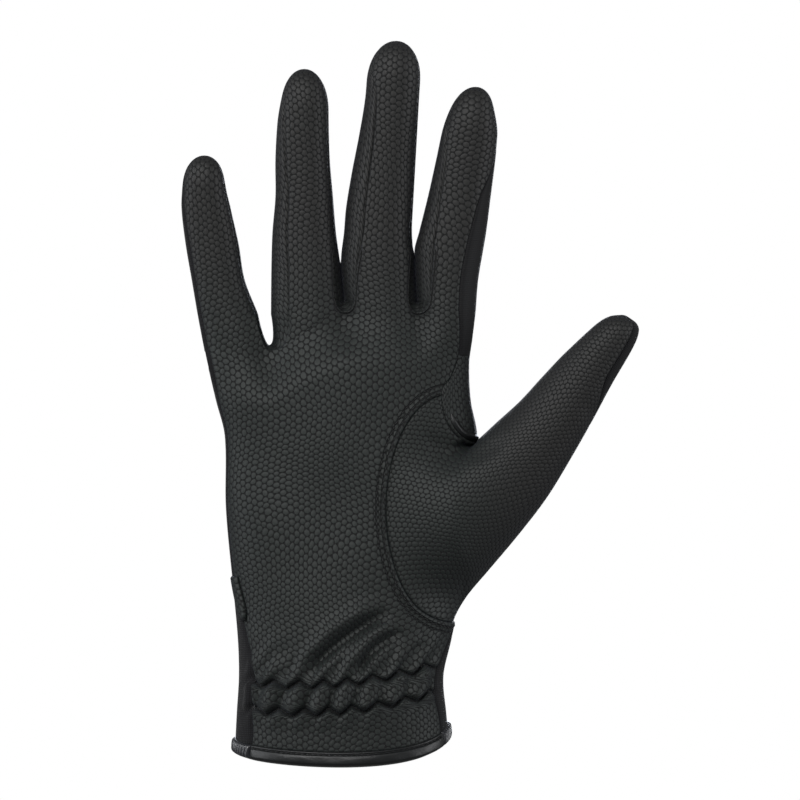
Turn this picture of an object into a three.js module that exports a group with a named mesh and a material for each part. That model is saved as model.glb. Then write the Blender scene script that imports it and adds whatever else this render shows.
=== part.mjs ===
// A horse riding glove for a right hand, filled as if a hand were inside.
// The origin is the centre of the wrist opening, +Z runs to the middle fingertip, -Y is the palm side
// and +X the thumb side. All sizes are millimetres.
// Every leather or fabric piece is a sheet: a grid of points on the glove's outer surface, each with the
// direction that faces out of the glove, thickened inwards by the wall. Neighbouring pieces take their
// shared seam from the same functions and each stays half a gap away from it.
import * as THREE from "three";

// Driving sizes
const PALM_HEIGHT = 140.4; // wrist opening to the web between ring and middle finger
const PALM_FRONT = 15.5; // mid plane to the palm's front at the knuckles
const PALM_BACK = 14; // mid plane to the back of the hand at the knuckles
const KNUCKLE_SHIFT = 0.8; // ring and middle finger's web, to the side of the wrist's centre
const LITTLE_WIDTH = 23.9;
const RING_WIDTH = 24.4;
const MIDDLE_WIDTH = 23.4;
const INDEX_WIDTH = 18.9;
const LITTLE_LENGTH = 63;
const RING_LENGTH = 78.3;
const MIDDLE_LENGTH = 87.4;
const INDEX_LENGTH = 72.8;
const LITTLE_DEPTH = 17;
const RING_DEPTH = 20;
const MIDDLE_DEPTH = 20.6;
const INDEX_DEPTH = 20;
const THUMB_LENGTH = 61.5; // crotch to thumb tip
const THUMB_DEPTH = 21; // front half of the thumb's root
const THUMB_LEAN = 12.3; // how far the thumb's tip leans to the palm side
const FINGER_CURL = 6; // how far the fingertips lean to the palm side
const WEB_DEPTH = 7; // mid plane to the front seam at the bottom of a web
const WEB_DROP = 4; // how much lower the webs lie on the back of the hand
const WALL = 1.2;
const GAP = 0.35; // between two pieces along a seam
const HEM_HEIGHT = 4.6;
const HEM_WALL = 2.6;
const HEM_LIFT = 0.5; // how far the binding stands proud of the leather above it
const HEM_BULGE = 0.5;
const HEM_SIDE_TILT = 2.55; // the thumb end of the hem is this much above the opening's centre
const HEM_FRONT_TILT = 7.45; // the palm side of the hem is this much below it
const HEM_BACK_TILT = 2; // and the back of the hem this much above it
const HEM_SKEW = 2.4; // the hem's low place lies to the thumb's side of the palm by this share
const BAY_WIDTH = 20.8; // the thumb piece's seam in the palm is half an ellipse of this half width
const BAY_HEIGHT = 74; // and of this height
const BACK_BAY_WIDTH = 14;
const CROTCH_DROP = 16; // top of the thumb's seam to the crotch
const CROTCH_RELIEF = 0.5; // how far the gusset's lower edge keeps above the crotch
const SIDE_STRIP_END = 125.8; // height where the smooth side strip meets the embossed gusset
const WELT_WIDTH = 1.6;
const WELT_THICKNESS = 0.6;
const WELT_ASIDE = 2.1; // middle of the welt above the thumb's seam
const TONGUE_WIDTH = 7;
const TONGUE_TOP = 54;
const TONGUE_BOTTOM = 40.5;
const TONGUE_TURN = 0.06; // how far the tongue lies past the side seam
const TONGUE_THICKNESS = 0.9;
const GATHER_PITCH = 7.8;
const GATHER_DEPTH = 0.9;
const GATHER_SLANT = 0.35; // sideways shift of the gathers for each millimetre up
const GATHER_REACH = 12; // how far they run on above the upper row
const ROW_RISE = 0.12; // rise of the two rows towards the thumb, for each millimetre across
const ROW_WIDTH = 1.6;
const UPPER_GATHERS = 21; // height of the upper shirring row
const LOWER_GATHERS = 12.2;

// Shape shares
const SQUARE_FINGER = 2.3;
const SQUARE_THUMB = 2.2;
const TIP_DOMES = [0.47, 0.58, 0.58, 0.83]; // length of each fingertip's dome as a share of its width
const MOUND_FADE = 26; // length over which the finger mounds fade into the palm
const BACK_SEAM = 35; // degrees round from the side to the fingers' back seams
const SEAM_END = 0.975; // share of a finger's length where its two side seams meet
const SEAM_CLOSING = 0.15; // share of its length over which they run together
const SIDE_STRIP_TOP = 0.72; // share of the index finger's length where the smooth strip ends
const SIDE_STRIP_CLOSING = 0.3;
const SIDE_STRIP_BACK = 30; // degrees round to the strip's back edge
const BAY_MIDDLE = 0.5442; // the thumb seam's middle as a share of the palm's height
const BAY_SIDE = 0.3843; // and its inner end to the side as a share of the knuckle width
const WELT_START = 0.08; // share of the line through the crotch that the welt leaves free at each end
const TONGUE_STRAIGHT = 0.45; // share of the tongue's length above its round end
const DEG = Math.PI / 180;

const KNUCKLE_WIDTH = LITTLE_WIDTH + RING_WIDTH + MIDDLE_WIDTH + INDEX_WIDTH;

// Sections of the palm and wrist: height as a share of the palm's, sides as shares of the knuckle width,
// depths as shares of the palm's, and how square the section is.
const BODY = [
  { up: -0.06, left: -0.391, right: 0.391, front: 1.35, back: 1.5, square: 2.1 },
  { up: 0.072, left: -0.381, right: 0.37, front: 1.35, back: 1.48, square: 2.1 },
  { up: 0.155, left: -0.3735, right: 0.36, front: 1.32, back: 1.43, square: 2.15 },
  { up: 0.2385, left: -0.377, right: 0.388, front: 1.28, back: 1.36, square: 2.2 },
  { up: 0.354, left: -0.393, right: 0.424, front: 1.2, back: 1.2, square: 2.3 },
  { up: 0.544, left: -0.42, right: 0.463, front: 1.08, back: 1.05, square: 2.6 },
  { up: 0.711, left: -0.424, right: 0.481, front: 1.02, back: 1, square: 2.7 },
  { up: 0.794, left: -0.456, right: 0.458, front: 1, back: 1, square: 2.6 },
  { up: 0.878, left: -0.485, right: 0.4525, front: 0.97, back: 1, square: 2.5 },
  { up: 0.933, left: -0.503, right: 0.463, front: 0.93, back: 0.98, square: 2.5 },
  { up: 1, left: -0.5243, right: 0.4758, front: 0.87, back: 0.93, square: 2.4 },
];

// Side seams of the palm piece: degrees round from the little finger's side and from the thumb's side,
// with the back edge of the side strip on the back of the hand.
const LEFT_SEAM = [
  { up: -0.06, turn: 32 },
  { up: 0.17, turn: 32 },
  { up: 0.29, turn: 20 },
  { up: 0.42, turn: 10 },
  { up: 0.9, turn: 14 },
];
const WRIST_SEAM = [
  { up: -0.06, turn: 20 },
  { up: 0.078, turn: 21 },
  { up: 0.148, turn: 25 },
  { up: 0.23, turn: 15 },
  { up: 0.282, turn: 0 },
];
const SIDE_SEAM = [
  { up: 0.807, front: 38.7, back: 34 },
  { up: 0.848, front: 30.1, back: 29 },
  { up: 0.891, front: 23.6, back: 24 },
  { up: 0.95, front: 25.2, back: 18 },
  { up: 1, front: 28.4, back: 14 },
];

// Sections of each finger from its web to its tip: sides as shares of its root width from its root's
// middle, thickness as a share of its depth, and its front seams in degrees round from its sides.
const LITTLE_ROWS = [
  { up: 0, left: -0.398, right: 0.493, thick: 1, seamLeft: 25, seamRight: 20 },
  { up: 0.175, left: -0.486, right: 0.344, thick: 1, seamLeft: 28, seamRight: 19 },
  { up: 0.361, left: -0.568, right: 0.153, thick: 0.97, seamLeft: 30, seamRight: 18 },
  { up: 0.546, left: -0.65, right: 0.071, thick: 0.94, seamLeft: 32, seamRight: 18 },
  { up: 0.732, left: -0.704, right: -0.037, thick: 0.9, seamLeft: 28, seamRight: 17 },
  { up: 0.856, left: -0.69, right: -0.105, thick: 0.86, seamLeft: 24, seamRight: 15 },
  { up: 1, left: -0.69, right: -0.09, thick: 0.86, seamLeft: 15, seamRight: 12 },
];
const RING_ROWS = [
  { up: -0.16, left: -0.493, right: 0.494, thick: 1.02, seamLeft: 59, seamRight: 41 },
  { up: 0, left: -0.493, right: 0.494, thick: 1, seamLeft: 59, seamRight: 41 },
  { up: 0.203, left: -0.486, right: 0.427, thick: 0.98, seamLeft: 59, seamRight: 35 },
  { up: 0.328, left: -0.4725, right: 0.373, thick: 0.96, seamLeft: 58, seamRight: 26 },
  { up: 0.477, left: -0.432, right: 0.333, thick: 0.94, seamLeft: 57, seamRight: 23 },
  { up: 0.627, left: -0.432, right: 0.293, thick: 0.91, seamLeft: 52, seamRight: 18 },
  { up: 0.776, left: -0.405, right: 0.279, thick: 0.88, seamLeft: 43, seamRight: 14 },
  { up: 0.875, left: -0.365, right: 0.279, thick: 0.85, seamLeft: 26, seamRight: 13 },
  { up: 1, left: -0.37, right: 0.28, thick: 0.83, seamLeft: 15, seamRight: 12 },
];
const MIDDLE_ROWS = [
  { up: 0, left: -0.493, right: 0.493, thick: 1, seamLeft: 40, seamRight: 41 },
  { up: 0.182, left: -0.5625, right: 0.451, thick: 0.98, seamLeft: 57, seamRight: 26 },
  { up: 0.294, left: -0.521, right: 0.424, thick: 0.97, seamLeft: 65, seamRight: 18 },
  { up: 0.383, left: -0.493, right: 0.4375, thick: 0.96, seamLeft: 65, seamRight: 15 },
  { up: 0.517, left: -0.41, right: 0.465, thick: 0.94, seamLeft: 64, seamRight: 14 },
  { up: 0.65, left: -0.3125, right: 0.493, thick: 0.91, seamLeft: 61, seamRight: 14 },
  { up: 0.784, left: -0.229, right: 0.521, thick: 0.88, seamLeft: 53, seamRight: 14 },
  { up: 0.874, left: -0.201, right: 0.542, thick: 0.86, seamLeft: 40, seamRight: 13 },
  { up: 1, left: -0.17, right: 0.57, thick: 0.84, seamLeft: 20, seamRight: 12 },
];
const INDEX_ROWS = [
  { up: 0, left: -0.491, right: 0.5, thick: 1, seamLeft: 51, seamRight: 65 },
  { up: 0.143, left: -0.534, right: 0.543, thick: 0.99, seamLeft: 60, seamRight: 64 },
  { up: 0.277, left: -0.552, right: 0.629, thick: 0.98, seamLeft: 63, seamRight: 60 },
  { up: 0.357, left: -0.474, right: 0.681, thick: 0.97, seamLeft: 60, seamRight: 58 },
  { up: 0.518, left: -0.319, right: 0.759, thick: 0.94, seamLeft: 53, seamRight: 46 },
  { up: 0.679, left: -0.181, right: 0.836, thick: 0.91, seamLeft: 46, seamRight: 12 },
  { up: 0.786, left: -0.095, right: 0.871, thick: 0.88, seamLeft: 32, seamRight: 0 },
  { up: 0.893, left: -0.009, right: 0.87, thick: 0.86, seamLeft: 18, seamRight: 0 },
  { up: 1, left: 0.04, right: 0.94, thick: 0.84, seamLeft: 12, seamRight: 0 },
];

// The slit between two fingers: its bottom as a share of the palm's height, the height of its round
// bottom and of its bottom at mid depth as shares of the finger width, and its line's lean and bow.
const SLITS = [
  { up: 0.9095, round: 0.48, middle: 0.41, lean: -0.247, bow: 0.24 },
  { up: 1, round: 0.15, middle: 0.02, lean: -0.138, bow: 0.198 },
  { up: 0.998, round: 0.15, middle: 0.02, lean: -0.103, bow: 0.239 },
];

// Sections of the thumb from its seam in the palm (at 0) to its tip: its inner and outer edge to the side
// and up from the crotch and its bow towards the palm as shares of the thumb's length, and its front and
// back depth as shares of the thumb's depth.
const THUMB_ROWS = [
  { at: 0.2, inX: 0, inZ: 0, outX: 0.045, outZ: -0.692, bow: 0.148, front: 1, back: 0.7 },
  { at: 0.32, inX: 0.11, inZ: 0.118, outX: 0.222, outZ: -0.476, bow: 0.074, front: 0.82, back: 0.64 },
  { at: 0.45, inX: 0.226, inZ: 0.228, outX: 0.372, outZ: -0.275, bow: 0.032, front: 0.66, back: 0.57 },
  { at: 0.58, inX: 0.336, inZ: 0.35, outX: 0.505, outZ: -0.053, bow: 0.01, front: 0.56, back: 0.5 },
  { at: 0.7, inX: 0.436, inZ: 0.458, outX: 0.608, outZ: 0.132, bow: 0, front: 0.5, back: 0.46 },
  { at: 0.8, inX: 0.507, inZ: 0.527, outX: 0.709, outZ: 0.322, bow: 0, front: 0.46, back: 0.43 },
  { at: 0.88, inX: 0.574, inZ: 0.59, outX: 0.81, outZ: 0.497, bow: 0, front: 0.41, back: 0.39 },
  { at: 0.94, inX: 0.64, inZ: 0.646, outX: 0.845, outZ: 0.585, bow: 0, front: 0.33, back: 0.32 },
  { at: 0.98, inX: 0.693, inZ: 0.674, outX: 0.834, outZ: 0.636, bow: 0, front: 0.2, back: 0.2 },
  { at: 1, inX: 0.745, inZ: 0.683, outX: 0.78, outZ: 0.677, bow: 0, front: 0, back: 0 },
];
const THUMB_FREE = THUMB_ROWS[0].at;

const clamp = (value, low, high) => Math.min(high, Math.max(low, value));
const mix = (a, b, t) => a + (b - a) * t;

function ease(t) {
  const c = clamp(t, 0, 1);
  return c * c * (3 - 2 * c);
}

// A column of a table at a place between its rows, by a smooth curve through them.
function along(rows, key, column, at) {
  let i = 0;
  while (i < rows.length - 2 && at > rows[i + 1][key]) i += 1;
  const span = rows[i + 1][key] - rows[i][key];
  const t = clamp((at - rows[i][key]) / span, 0, 1);
  const slope = (j) => {
    const before = rows[Math.max(j - 1, 0)];
    const after = rows[Math.min(j + 1, rows.length - 1)];
    return ((after[column] - before[column]) / (after[key] - before[key])) * span;
  };
  const t2 = t * t;
  const t3 = t2 * t;
  return (
    (2 * t3 - 3 * t2 + 1) * rows[i][column] +
    (t3 - 2 * t2 + t) * slope(i) +
    (3 * t2 - 2 * t3) * rows[i + 1][column] +
    (t3 - t2) * slope(i + 1)
  );
}

// A rounded square section: how far across and how far to the front a turn reaches. Turn 0 is the thumb's
// side, 90 degrees the front, 180 the little finger's side and 270 the back.
function squareRound(turn, square) {
  const across = Math.cos(turn);
  const deep = Math.pow(Math.max(0, 1 - Math.pow(Math.abs(across), square)), 1 / square);
  return [across, Math.sign(Math.sin(turn)) * deep];
}

// The fingers and the slits between them, placed from the widths
const ringMiddle = KNUCKLE_SHIFT;
const slitX = [ringMiddle - RING_WIDTH, ringMiddle, ringMiddle + MIDDLE_WIDTH];
const slits = SLITS.map((row, k) => ({
  ...row,
  x: slitX[k],
  bottom: row.up * PALM_HEIGHT,
  centre: row.up * PALM_HEIGHT + row.round * RING_WIDTH,
}));
const widths = [LITTLE_WIDTH, RING_WIDTH, MIDDLE_WIDTH, INDEX_WIDTH];
const lengths = [LITTLE_LENGTH, RING_LENGTH, MIDDLE_LENGTH, INDEX_LENGTH];
const depths = [LITTLE_DEPTH, RING_DEPTH, MIDDLE_DEPTH, INDEX_DEPTH];
const sections = [LITTLE_ROWS, RING_ROWS, MIDDLE_ROWS, INDEX_ROWS];
// The two middle fingers start at the web between them, the outer ones at their own.
const bases = widths.map((width, k) => slits[Math.round((2 * k) / 3)].bottom);
const fingers = widths.map((width, k) => ({
  x: k ? slitX[k - 1] + width / 2 : slitX[0] - width / 2,
  width,
  base: bases[k],
  length: lengths[k],
  tip: bases[k] + lengths[k],
  depth: depths[k] / 2,
  dome: TIP_DOMES[k] * width,
  rows: sections[k],
}));

function slitLine(k, z) {
  const t = (z - slits[k].bottom) / MIDDLE_LENGTH;
  return slits[k].x + MIDDLE_LENGTH * (slits[k].lean * t + slits[k].bow * Math.max(t, 0) * t);
}

// A finger's section at a height: its middle, half width, half depth and lean.
function fingerSection(k, z) {
  const f = fingers[k];
  const up = (z - f.base) / f.length;
  let left = f.x + f.width * along(f.rows, "up", "left", up);
  let right = f.x + f.width * along(f.rows, "up", "right", up);
  if (k > 0) left = Math.max(left, slitLine(k - 1, z) + GAP / 2);
  if (k < 3) right = Math.min(right, slitLine(k, z) - GAP / 2);
  const round = clamp((z - f.tip + f.dome) / f.dome, 0, 1);
  const close = Math.sqrt(Math.max(0, 1 - Math.pow(round, 2.2)));
  return {
    x: (left + right) / 2,
    y: -FINGER_CURL * Math.pow(clamp(up, 0, 1), 2),
    half: ((right - left) / 2) * close,
    depth: f.depth * along(f.rows, "up", "thick", up) * close,
  };
}

function fingerPoint(k, turn, z) {
  const s = fingerSection(k, z);
  const [across, deep] = squareRound(turn, SQUARE_FINGER);
  return new THREE.Vector3(s.x + s.half * across, s.y - s.depth * deep, z);
}

// A finger's seams as turns: the front seams, and the back seams at a fixed turn. Both close at the tip.
function fingerSeam(k, side, back, z) {
  const f = fingers[k];
  const up = (z - f.base) / f.length;
  const close = Math.sqrt(clamp((SEAM_END - up) / SEAM_CLOSING, 0, 1));
  const column = side < 0 ? "seamLeft" : "seamRight";
  let open = along(f.rows, "up", column, up) * DEG * close;
  if (back) open = -BACK_SEAM * DEG * close;
  if (back && k === 3 && side > 0) open = -sideStripBack(up) * DEG;
  return side < 0 ? Math.PI - open : open;
}

// The back edge of the side strip on the index finger, which ends where its front edge does.
function sideStripBack(up) {
  return SIDE_STRIP_BACK * Math.sqrt(clamp((SIDE_STRIP_TOP - up) / SIDE_STRIP_CLOSING, 0, 1));
}

// How deep the finger roots reach at a place in front of or behind the mid plane.
function moundDepth(x, z) {
  let k = 0;
  while (k < 3 && x > slitLine(k, z)) k += 1;
  const s = fingerSection(k, Math.max(z, slits[Math.max(k - 1, 0)].bottom));
  const q = clamp((x - s.x) / s.half, -1, 1);
  const deep = s.depth * Math.pow(1 - Math.pow(Math.abs(q), SQUARE_FINGER), 1 / SQUARE_FINGER);
  const open = (k === 0 && q < 0) || (k === 3 && q > 0);
  const floor = open ? WEB_DEPTH * ease(1 - Math.abs(q)) : WEB_DEPTH;
  return Math.pow(Math.pow(deep, 8) + Math.pow(floor, 8), 1 / 8);
}

// The height of the webs across the hand, which lie lower on its back.
function webHeight(x, back) {
  const fromLeft = (x - slitX[0]) / LITTLE_WIDTH + 1;
  const fromRight = (slitX[2] - x) / INDEX_WIDTH + 1;
  const drop = back ? WEB_DROP * ease(Math.min(fromLeft, fromRight)) : 0;
  if (x <= slitX[0]) return slits[0].bottom - drop;
  if (x >= slitX[2]) return slits[2].bottom - drop;
  const k = x > slitX[1] ? 1 : 0;
  return mix(slits[k].bottom, slits[k + 1].bottom, (x - slitX[k]) / (slitX[k + 1] - slitX[k])) - drop;
}

// The palm and wrist's closed section
function bodySection(z) {
  const up = z / PALM_HEIGHT;
  const left = KNUCKLE_WIDTH * along(BODY, "up", "left", up);
  const right = KNUCKLE_WIDTH * along(BODY, "up", "right", up);
  return {
    x: (left + right) / 2,
    half: (right - left) / 2,
    front: PALM_FRONT * along(BODY, "up", "front", up),
    back: PALM_BACK * along(BODY, "up", "back", up),
    square: along(BODY, "up", "square", up),
  };
}

function bodyPoint(turn, z) {
  const s = bodySection(z);
  const [across, deep] = squareRound(turn, s.square);
  const x = s.x + s.half * across;
  const fade = ease((z - webHeight(x, deep < 0)) / MOUND_FADE + 1);
  const depth = Math.abs(deep) * (deep > 0 ? s.front : s.back);
  const y = mix(depth, moundDepth(x, z), fade);
  return new THREE.Vector3(x, -Math.sign(deep) * y, z);
}

// The turn at which the body's section passes over a place, in front or behind.
function bodyTurn(x, z, back) {
  const s = bodySection(z);
  const open = Math.acos(clamp((x - s.x) / s.half, -1, 1));
  return back ? -open : open;
}

// The direction that faces out of a surface given by a turn and a height.
function facing(surface, turn, z) {
  const step = 0.02;
  const round = surface(turn + step, z).sub(surface(turn - step, z));
  const rise = surface(turn, z + step).sub(surface(turn, z - step));
  return rise.cross(round).normalize();
}

// The wrist's shirring: two stitched rows pull the leather in, and it puffs out between slanting gathers.
function gather(turn, z) {
  const p = bodyPoint(turn, z);
  const rise = ROW_RISE * p.x;
  const row = (height) => Math.exp(-Math.pow((z - height - rise) / ROW_WIDTH, 2));
  const window = ease((z - 3) / 8) * ease((UPPER_GATHERS + GATHER_REACH - z + rise) / 9);
  const wave = Math.cos((2 * Math.PI * (p.x - GATHER_SLANT * (z - LOWER_GATHERS))) / GATHER_PITCH);
  const middle = ease((Math.sin(turn) - 0.35) / 0.25);
  return window * middle * GATHER_DEPTH * (0.55 * wave - 0.9 * (row(UPPER_GATHERS) + row(LOWER_GATHERS)));
}

// The slanting folds that run from the wrist up to the thumb's seam.
const FOLDS = [
  { fromX: -0.12, fromZ: 0.18, toX: 0.14, toZ: 0.3, depth: 0.9, width: 2.6 },
  { fromX: 0.08, fromZ: 0.19, toX: 0.19, toZ: 0.26, depth: 0.7, width: 2.2 },
];
function folds(x, z) {
  let sum = 0;
  for (const f of FOLDS) {
    const start = new THREE.Vector2(f.fromX * KNUCKLE_WIDTH, f.fromZ * PALM_HEIGHT);
    const run = new THREE.Vector2(f.toX * KNUCKLE_WIDTH, f.toZ * PALM_HEIGHT).sub(start);
    const here = new THREE.Vector2(x, z).sub(start);
    const t = here.dot(run) / run.lengthSq();
    const off = here.cross(run) / run.length() / f.width;
    const ends = ease(t / 0.3 + 0.5) * ease((1 - t) / 0.3 + 0.5);
    sum += f.depth * ends * (0.8 * Math.exp(-Math.pow(off + 1.6, 2)) - Math.exp(-off * off));
  }
  return sum;
}

// A point of the body with the direction that faces out there.
function bodyVertex(turn, z) {
  const n = facing(bodyPoint, turn, z);
  const p = bodyPoint(turn, z);
  if (Math.sin(turn) < 0.2) return { p, n };
  const lift = gather(turn, z) + folds(p.x, z) * ease((Math.sin(turn) - 0.2) / 0.3);
  return { p: p.addScaledVector(n, lift), n };
}

function fingerVertex(k, turn, z) {
  const surface = (a, b) => fingerPoint(k, a, b);
  const s = fingerSection(k, z);
  if (s.half < 0.5) return { p: new THREE.Vector3(s.x, s.y, z), n: new THREE.Vector3(0, 0, 1) };
  return { p: surface(turn, z), n: facing(surface, turn, z) };
}

// A finger's root beside the web, where it swells out of the hand.
function rootVertex(k, turn, z) {
  const surface = (a, b) => {
    const s = fingerSection(k, Math.max(b, fingers[k].base));
    const x = s.x + s.half * Math.cos(a);
    return new THREE.Vector3(x, -Math.sign(Math.sin(a)) * moundDepth(x, b), b);
  };
  return { p: surface(turn, z), n: facing(surface, turn, z) };
}

// The strip between two fingers. Its length runs from the left finger's tip (-2) down round the slit's
// bottom (-1 to 1) and up to the right finger's tip (2). Its width runs from the front seam (0) to the
// back seam (1).
function stripPoint(k, t, w) {
  const slit = slits[k];
  const owner = t < 0 ? k : k + 1;
  const side = t < 0 ? 1 : -1;
  const sideAt = (f, s, z) => {
    return fingerPoint(f, mix(fingerSeam(f, s, false, z), fingerSeam(f, s, true, z), w), z);
  };
  const free = Math.abs(t) - 1;
  if (free > 0) return sideAt(owner, side, stripHeight(k, t));
  const here = sideAt(owner, side, slit.centre);
  const other = sideAt(t < 0 ? k + 1 : k, -side, slit.centre);
  const bend = (t * Math.PI) / 2;
  const low = slit.round * RING_WIDTH;
  const arch = Math.pow(Math.sin(Math.PI * w), 0.7);
  const drop = mix(mix(low, low + WEB_DROP, w), slit.middle * RING_WIDTH, arch);
  const z = slit.centre - drop * Math.cos(bend);
  const web = mix(-WEB_DEPTH, WEB_DEPTH, w);
  const ends = mix((here.y + other.y) / 2, web, Math.abs(2 * w - 1));
  const y = mix(ends, here.y, Math.abs(Math.sin(bend)));
  const x = slitLine(k, z) + Math.abs(here.x - slitLine(k, slit.centre)) * Math.sin(bend);
  return new THREE.Vector3(x, y, z);
}

// The height along a strip's free part, where 1 is the slit's round bottom and 2 the fingertip.
function stripHeight(k, t) {
  const tip = fingers[t < 0 ? k : k + 1].tip;
  return mix(slits[k].centre, tip, Math.abs(t) - 1);
}

function stripTurn(k, t, w) {
  const owner = t < 0 ? k : k + 1;
  const side = t < 0 ? 1 : -1;
  const z = stripHeight(k, t);
  return mix(fingerSeam(owner, side, false, z), fingerSeam(owner, side, true, z), w);
}

function stripVertex(k, t, w) {
  const owner = t < 0 ? k : k + 1;
  if (Math.abs(t) >= 1) return fingerVertex(owner, stripTurn(k, t, w), stripHeight(k, t));
  const step = 0.01;
  const run = stripPoint(k, t + step, w).sub(stripPoint(k, t - step, w));
  const across = stripPoint(k, t, Math.min(w + step, 1)).sub(stripPoint(k, t, Math.max(w - step, 0)));
  return { p: stripPoint(k, t, w), n: run.cross(across).normalize() };
}

// A sheet of points and faces
function newSheet() {
  return { points: [], faces: [] };
}
function addPoint(sheet, vertex) {
  sheet.points.push(vertex);
  return sheet.points.length - 1;
}
function addGrid(sheet, ids) {
  for (let i = 0; i + 1 < ids.length; i += 1) {
    for (let j = 0; j + 1 < ids[i].length; j += 1) {
      sheet.faces.push([ids[i][j], ids[i][j + 1], ids[i + 1][j + 1], ids[i + 1][j]]);
    }
  }
}

// The sheet thickened inwards and closed round its edges, with its edges drawn back by half a gap.
function slab(name, sheet, color, options = {}) {
  const { wall = WALL, lift = 0, roughness = 0.55 } = options;
  const faces = sheet.faces.map((f) => f.slice());
  const outward = faces.reduce((sum, f) => {
    const [a, b, c] = f.map((id) => sheet.points[id].p);
    return sum + b.clone().sub(a).cross(c.clone().sub(a)).dot(sheet.points[f[0]].n);
  }, 0);
  if (outward < 0) faces.forEach((f) => f.reverse());
  const edges = new Map();
  const key = (i, j) => i * sheet.points.length + j;
  for (const f of faces) {
    f.forEach((id, i) => edges.set(key(id, f[(i + 1) % f.length]), [id, f[(i + 1) % f.length]]));
  }
  const rim = [...edges.values()].filter(([i, j]) => !edges.has(key(j, i)));
  const pull = sheet.points.map(() => []);
  for (const [i, j] of rim) {
    const run = sheet.points[j].p.clone().sub(sheet.points[i].p);
    for (const id of [i, j]) pull[id].push(sheet.points[id].n.clone().cross(run).normalize());
  }
  const outer = sheet.points.map(({ p, n }, id) => {
    const moved = p.clone().addScaledVector(n, lift);
    if (pull[id].length < 2) return moved;
    const [m1, m2] = pull[id];
    const stretch = GAP / 2 / Math.max(0.5, 1 + m1.dot(m2));
    return moved.addScaledVector(m1, stretch).addScaledVector(m2, stretch);
  });
  const inner = sheet.points.map(({ n }, id) => outer[id].clone().addScaledVector(n, -wall));
  const corners = [];
  const triangle = (...points) => points.forEach((p) => corners.push(p.x, p.y, p.z));
  for (const f of faces) {
    for (let i = 1; i + 1 < f.length; i += 1) {
      triangle(outer[f[0]], outer[f[i]], outer[f[i + 1]]);
      triangle(inner[f[0]], inner[f[i + 1]], inner[f[i]]);
    }
  }
  for (const [i, j] of rim) {
    triangle(outer[j], outer[i], inner[i]);
    triangle(outer[j], inner[i], inner[j]);
  }
  const geometry = new THREE.BufferGeometry();
  geometry.setAttribute("position", new THREE.Float32BufferAttribute(corners, 3));
  geometry.computeVertexNormals();
  const mesh = new THREE.Mesh(geometry, new THREE.MeshStandardMaterial({ color, roughness, metalness: 0 }));
  mesh.name = name;
  return mesh;
}

// Rows of the grids on the hand
const FINGER_COLUMNS = 6;
const BACK_COLUMNS = 4;
const ROUND_ROWS = 3;
const FREE_ROWS = 12;
const STRIP_ROWS = ROUND_ROWS + 10; // the row where the strips between the fingers end
const freeShare = (i) => 1 - Math.pow(1 - i / FREE_ROWS, 1.8);

// Where a strip is met by a finger's row: the round bottom first, then the free part.
function stripPlace(row) {
  if (row < ROUND_ROWS) return row / ROUND_ROWS;
  return 1 + freeShare(row - ROUND_ROWS);
}

// One edge of a finger's front or back piece at a row.
function fingerEdge(k, side, back, row) {
  const slit = side < 0 ? k - 1 : k;
  if (slit >= 0 && slit < 3) {
    const t = stripPlace(row) * (side < 0 ? 1 : -1);
    return stripVertex(slit, t, back ? 1 : 0);
  }
  const web = k === 0 ? slits[0] : slits[2];
  let z = mix(web.bottom, web.centre, row / ROUND_ROWS);
  if (row >= ROUND_ROWS) z = mix(web.centre, fingers[k].tip, freeShare(row - ROUND_ROWS));
  const seam = fingerSeam(k, side, back && k === 3, z);
  return fingerVertex(k, seam, z);
}

// A row of a finger's front or back. Beside the webs its columns spread evenly across the finger, and
// the back of the little finger keeps a column on the outline of the hand.
function fingerRow(k, back, row, columns) {
  const left = fingerEdge(k, -1, back, row);
  const right = fingerEdge(k, 1, back, row);
  const outer = back && k === 0;
  const turnAt = (v) => {
    const s = fingerSection(k, Math.max(v.p.z, fingers[k].base));
    const open = Math.acos(clamp((v.p.x - s.x) / s.half, -1, 1));
    return v.p.y < s.y ? open : -open;
  };
  const last = row === ROUND_ROWS + FREE_ROWS;
  let from = last ? Math.PI : turnAt(left);
  let to = last ? 0 : turnAt(right);
  if (back) {
    from = from > 0 ? from : from + 2 * Math.PI;
    to = to + 2 * Math.PI;
  }
  const vertices = [left];
  for (let i = 1; i < columns; i += 1) {
    const v = i / columns;
    const z = mix(left.p.z, right.p.z, ease(v));
    let turn = mix(from, to, v);
    if (outer) turn = mix(Math.PI, to, (i - 1) / (columns - 1));
    if (row < ROUND_ROWS && !outer) {
      const even = mix(Math.cos(from), Math.cos(to), v);
      const open = Math.acos(clamp(mix(even, Math.cos(turn), row / ROUND_ROWS), -1, 1));
      turn = back ? -open : open;
    }
    vertices.push(row < ROUND_ROWS ? rootVertex(k, turn, z) : fingerVertex(k, turn, z));
  }
  vertices.push(right);
  return vertices;
}

// The thumb's seam in the palm and on the back of the hand: half an ellipse from its top near the crotch
// (0) to its bottom at the side of the wrist (1).
const BAY_TOP_TURN = 7 * DEG;
const bayMiddle = BAY_MIDDLE * PALM_HEIGHT;
const bayX = BAY_SIDE * KNUCKLE_WIDTH;
function bayPlace(t, back) {
  const turn = mix(BAY_TOP_TURN, Math.PI, t);
  const z = bayMiddle + (BAY_HEIGHT / 2) * Math.cos(turn);
  const s = bodySection(z);
  const reach = mix(bayX, s.x + s.half, ease((t - 0.8) / 0.2));
  const x = reach - (back ? BACK_BAY_WIDTH : BAY_WIDTH) * Math.sin(turn);
  return { turn: bodyTurn(x, z, back), z };
}
const bayTop = bayPlace(0, false);
const bayEnd = bayPlace(1, false);

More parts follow.
